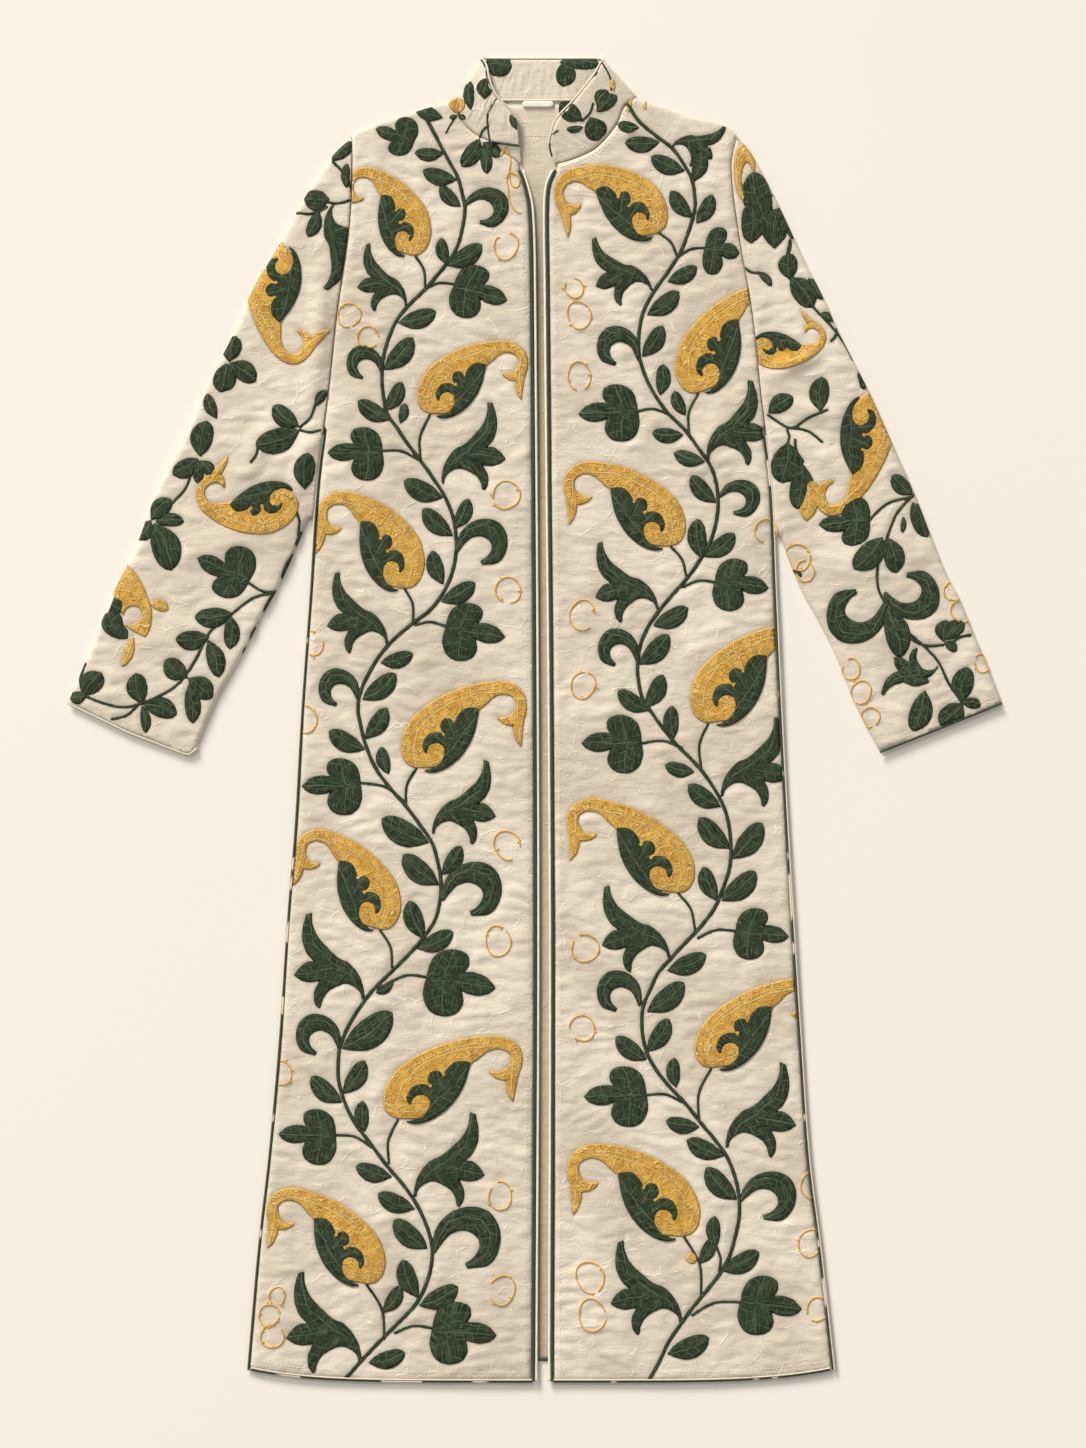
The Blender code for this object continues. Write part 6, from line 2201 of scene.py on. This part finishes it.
class KAFTAN_OT_stitches(bpy.types.Operator):
    """Sews the yellow rings and the pale lines along hems, cuffs, edges and neck"""

    bl_idname = "kaftan.make_stitches"
    bl_label = "Make stitches"

    def execute(self, context):
        settings = context.scene.kaftan
        group = stitch_group()
        names = ("front_right_cloth", "front_left_cloth", "sleeve_right_cloth", "sleeve_left_cloth", "collar_cloth", "collar_tab_cloth", "back_cloth")
        surface = Surface(names)
        rows = RINGS_RIGHT + RINGS_LEFT + RINGS_SLEEVE_LEFT
        rings = []
        for number, row in enumerate(rows):
            ring = ring_path(*row, number)
            rings += [surface.lay(path, 0.35) for path in [ring] + ring_knots(ring, number)]
        rings += [surface.lay(evenly(smooth(string, 40), 1.5), 0.35) for string in STRINGS_RIGHT]
        made = along_curves(
            "ring_stitches",
            rings,
            group,
            bpy.data.materials["yellow stitch"],
            spacing=settings.ring_spacing,
            length=settings.ring_spacing * 1.7,
            width=settings.ring_width,
            turn=0.22,
            seed=4,
        )
        ride(made)
        lines = []
        for column, neck in ((1, NECK_RIGHT), (2, NECK_LEFT)):
            away = -1 if column == 1 else 1
            low = hem_at(read(FRONT_EDGES, HEM_Y, column)) + 8
            edge = front_edge_points(column, 12.0, low, 545)
            lines.append(surface.lay(edge, 0.12))
            outer = read(BODY, SIDE_LOW, column) - away * 6
            inner = read(FRONT_EDGES, HEM_Y, column) + away * 10
            hem = [(x, hem_at(x) + 10) for x in steps_between(outer, inner, EDGE_STEP)]
            lines.append(surface.lay(hem, 0.12))
            for drop in (4.0, 8.0):
                seam = [(x, y - drop) for x, y in evenly(smooth(neck, 40), 3.0)]
                lines.append(surface.lay(seam, 0.12))
        for cuff in (CUFF_RIGHT, CUFF_LEFT):
            lines.append(surface.lay([(x, y + 8) for x, y in evenly(list(cuff), EDGE_STEP)][2:-2], 0.12))
        lines.append(surface.lay([(4.0, y) for y in steps_between(560, 612, 3.0)], 0.1))
        lines.append(surface.lay([(x, 585.5) for x in steps_between(-12, 18, 3.0)], 0.1))
        made = along_curves(
            "sewing_stitches",
            lines,
            group,
            bpy.data.materials["pale stitch"],
            spacing=settings.stitch_spacing,
            length=settings.stitch_spacing * 0.7,
            width=settings.thread_width,
            turn=0.05,
            seed=9,
        )
        ride(made)
        return {"FINISHED"}


class KAFTAN_OT_stage(bpy.types.Operator):
    """Sets the pale floor, the soft light from the upper left and the camera straight above"""

    bl_idname = "kaftan.set_stage"
    bl_label = "Set stage"

    def execute(self, context):
        settings = context.scene.kaftan
        scene = context.scene
        scene.view_settings.view_transform = "Standard"
        finish = Finish("floor", 0.95)
        tone = noise_node(finish.wires, finish.spot, 2.0)
        finish.colour(mixed(finish.wires, tone, (0.85, 0.797, 0.72, 1), (0.87, 0.822, 0.75, 1)))
        mesh = bpy.data.meshes.new("floor")
        mesh.from_pydata([(-6, -6, 0), (6, -6, 0), (6, 6, 0), (-6, 6, 0)], [], [(0, 1, 2, 3)])
        mesh.materials.append(finish.made)
        floor = bpy.data.objects.new("floor", mesh)
        scene.collection.objects.link(floor)
        light = bpy.data.lights.new("key", "AREA")
        light.shape = "DISK"
        light.size = 1.9
        light.energy = settings.key_power
        light.color = (1.0, 0.965, 0.92)
        key = bpy.data.objects.new("key", light)
        key.location = (-3.2, 2.6, 4.1)
        key.rotation_euler = (-Vector(key.location)).to_track_quat("-Z", "Y").to_euler()
        scene.collection.objects.link(key)
        low = bpy.data.lights.new("low", "SUN")
        low.energy = settings.sun_strength
        low.angle = math.radians(18)
        low.color = (1.0, 0.97, 0.93)
        sun = bpy.data.objects.new("low", low)
        sun.rotation_euler = (-Vector((-0.40, 0.79, 0.39))).to_track_quat("-Z", "Y").to_euler()
        scene.collection.objects.link(sun)
        world = scene.world or bpy.data.worlds.new("sky")
        scene.world = world
        world.use_nodes = True
        sky = world.node_tree.nodes["Background"]
        sky.inputs["Color"].default_value = (1.0, 0.975, 0.94, 1)
        sky.inputs["Strength"].default_value = settings.sky_strength
        camera = bpy.data.cameras.new("camera")
        camera.lens = settings.lens
        camera.sensor_width = 36.0
        camera.sensor_fit = "AUTO"
        camera.clip_end = 50.0
        eye = bpy.data.objects.new("camera", camera)
        tall = 1.448
        eye.location = (
            (8.0 + SHIFT[0]) * MM,
            (-3.0 + SHIFT[1]) * MM,
            0.005 + tall * settings.lens / camera.sensor_width,
        )
        scene.collection.objects.link(eye)
        scene.camera = eye
        return {"FINISHED"}


class KAFTAN_PT_panel(bpy.types.Panel):
    """Settings and steps of the laid kaftan"""

    bl_idname = "KAFTAN_PT_panel"
    bl_label = "Kaftan"
    bl_space_type = "VIEW_3D"
    bl_region_type = "UI"
    bl_category = "Kaftan"

    def draw(self, context):
        column = self.layout.column()
        for name in KaftanSettings.__annotations__:
            column.prop(context.scene.kaftan, name)
        for operator in OPERATORS:
            column.operator(operator.bl_idname)


OPERATORS = (
    KAFTAN_OT_materials,
    KAFTAN_OT_back,
    KAFTAN_OT_fronts,
    KAFTAN_OT_sleeves,
    KAFTAN_OT_collar,
    KAFTAN_OT_trims,
    KAFTAN_OT_stitches,
    KAFTAN_OT_stage,
)


def register():
    for made in (KaftanSettings, *OPERATORS, KAFTAN_PT_panel):
        bpy.utils.register_class(made)
    bpy.types.Scene.kaftan = bpy.props.PointerProperty(type=KaftanSettings)


def unregister():
    del bpy.types.Scene.kaftan
    for made in (KAFTAN_PT_panel, *OPERATORS[::-1], KaftanSettings):
        bpy.utils.unregister_class(made)


def main():
    register()
    bpy.ops.kaftan.make_materials()
    bpy.ops.kaftan.make_back()
    bpy.ops.kaftan.make_fronts()
    bpy.ops.kaftan.make_sleeves()
    bpy.ops.kaftan.make_collar()
    bpy.ops.kaftan.make_trims()
    bpy.ops.kaftan.make_stitches()
    bpy.ops.kaftan.set_stage()


if __name__ == "__main__":
    main()
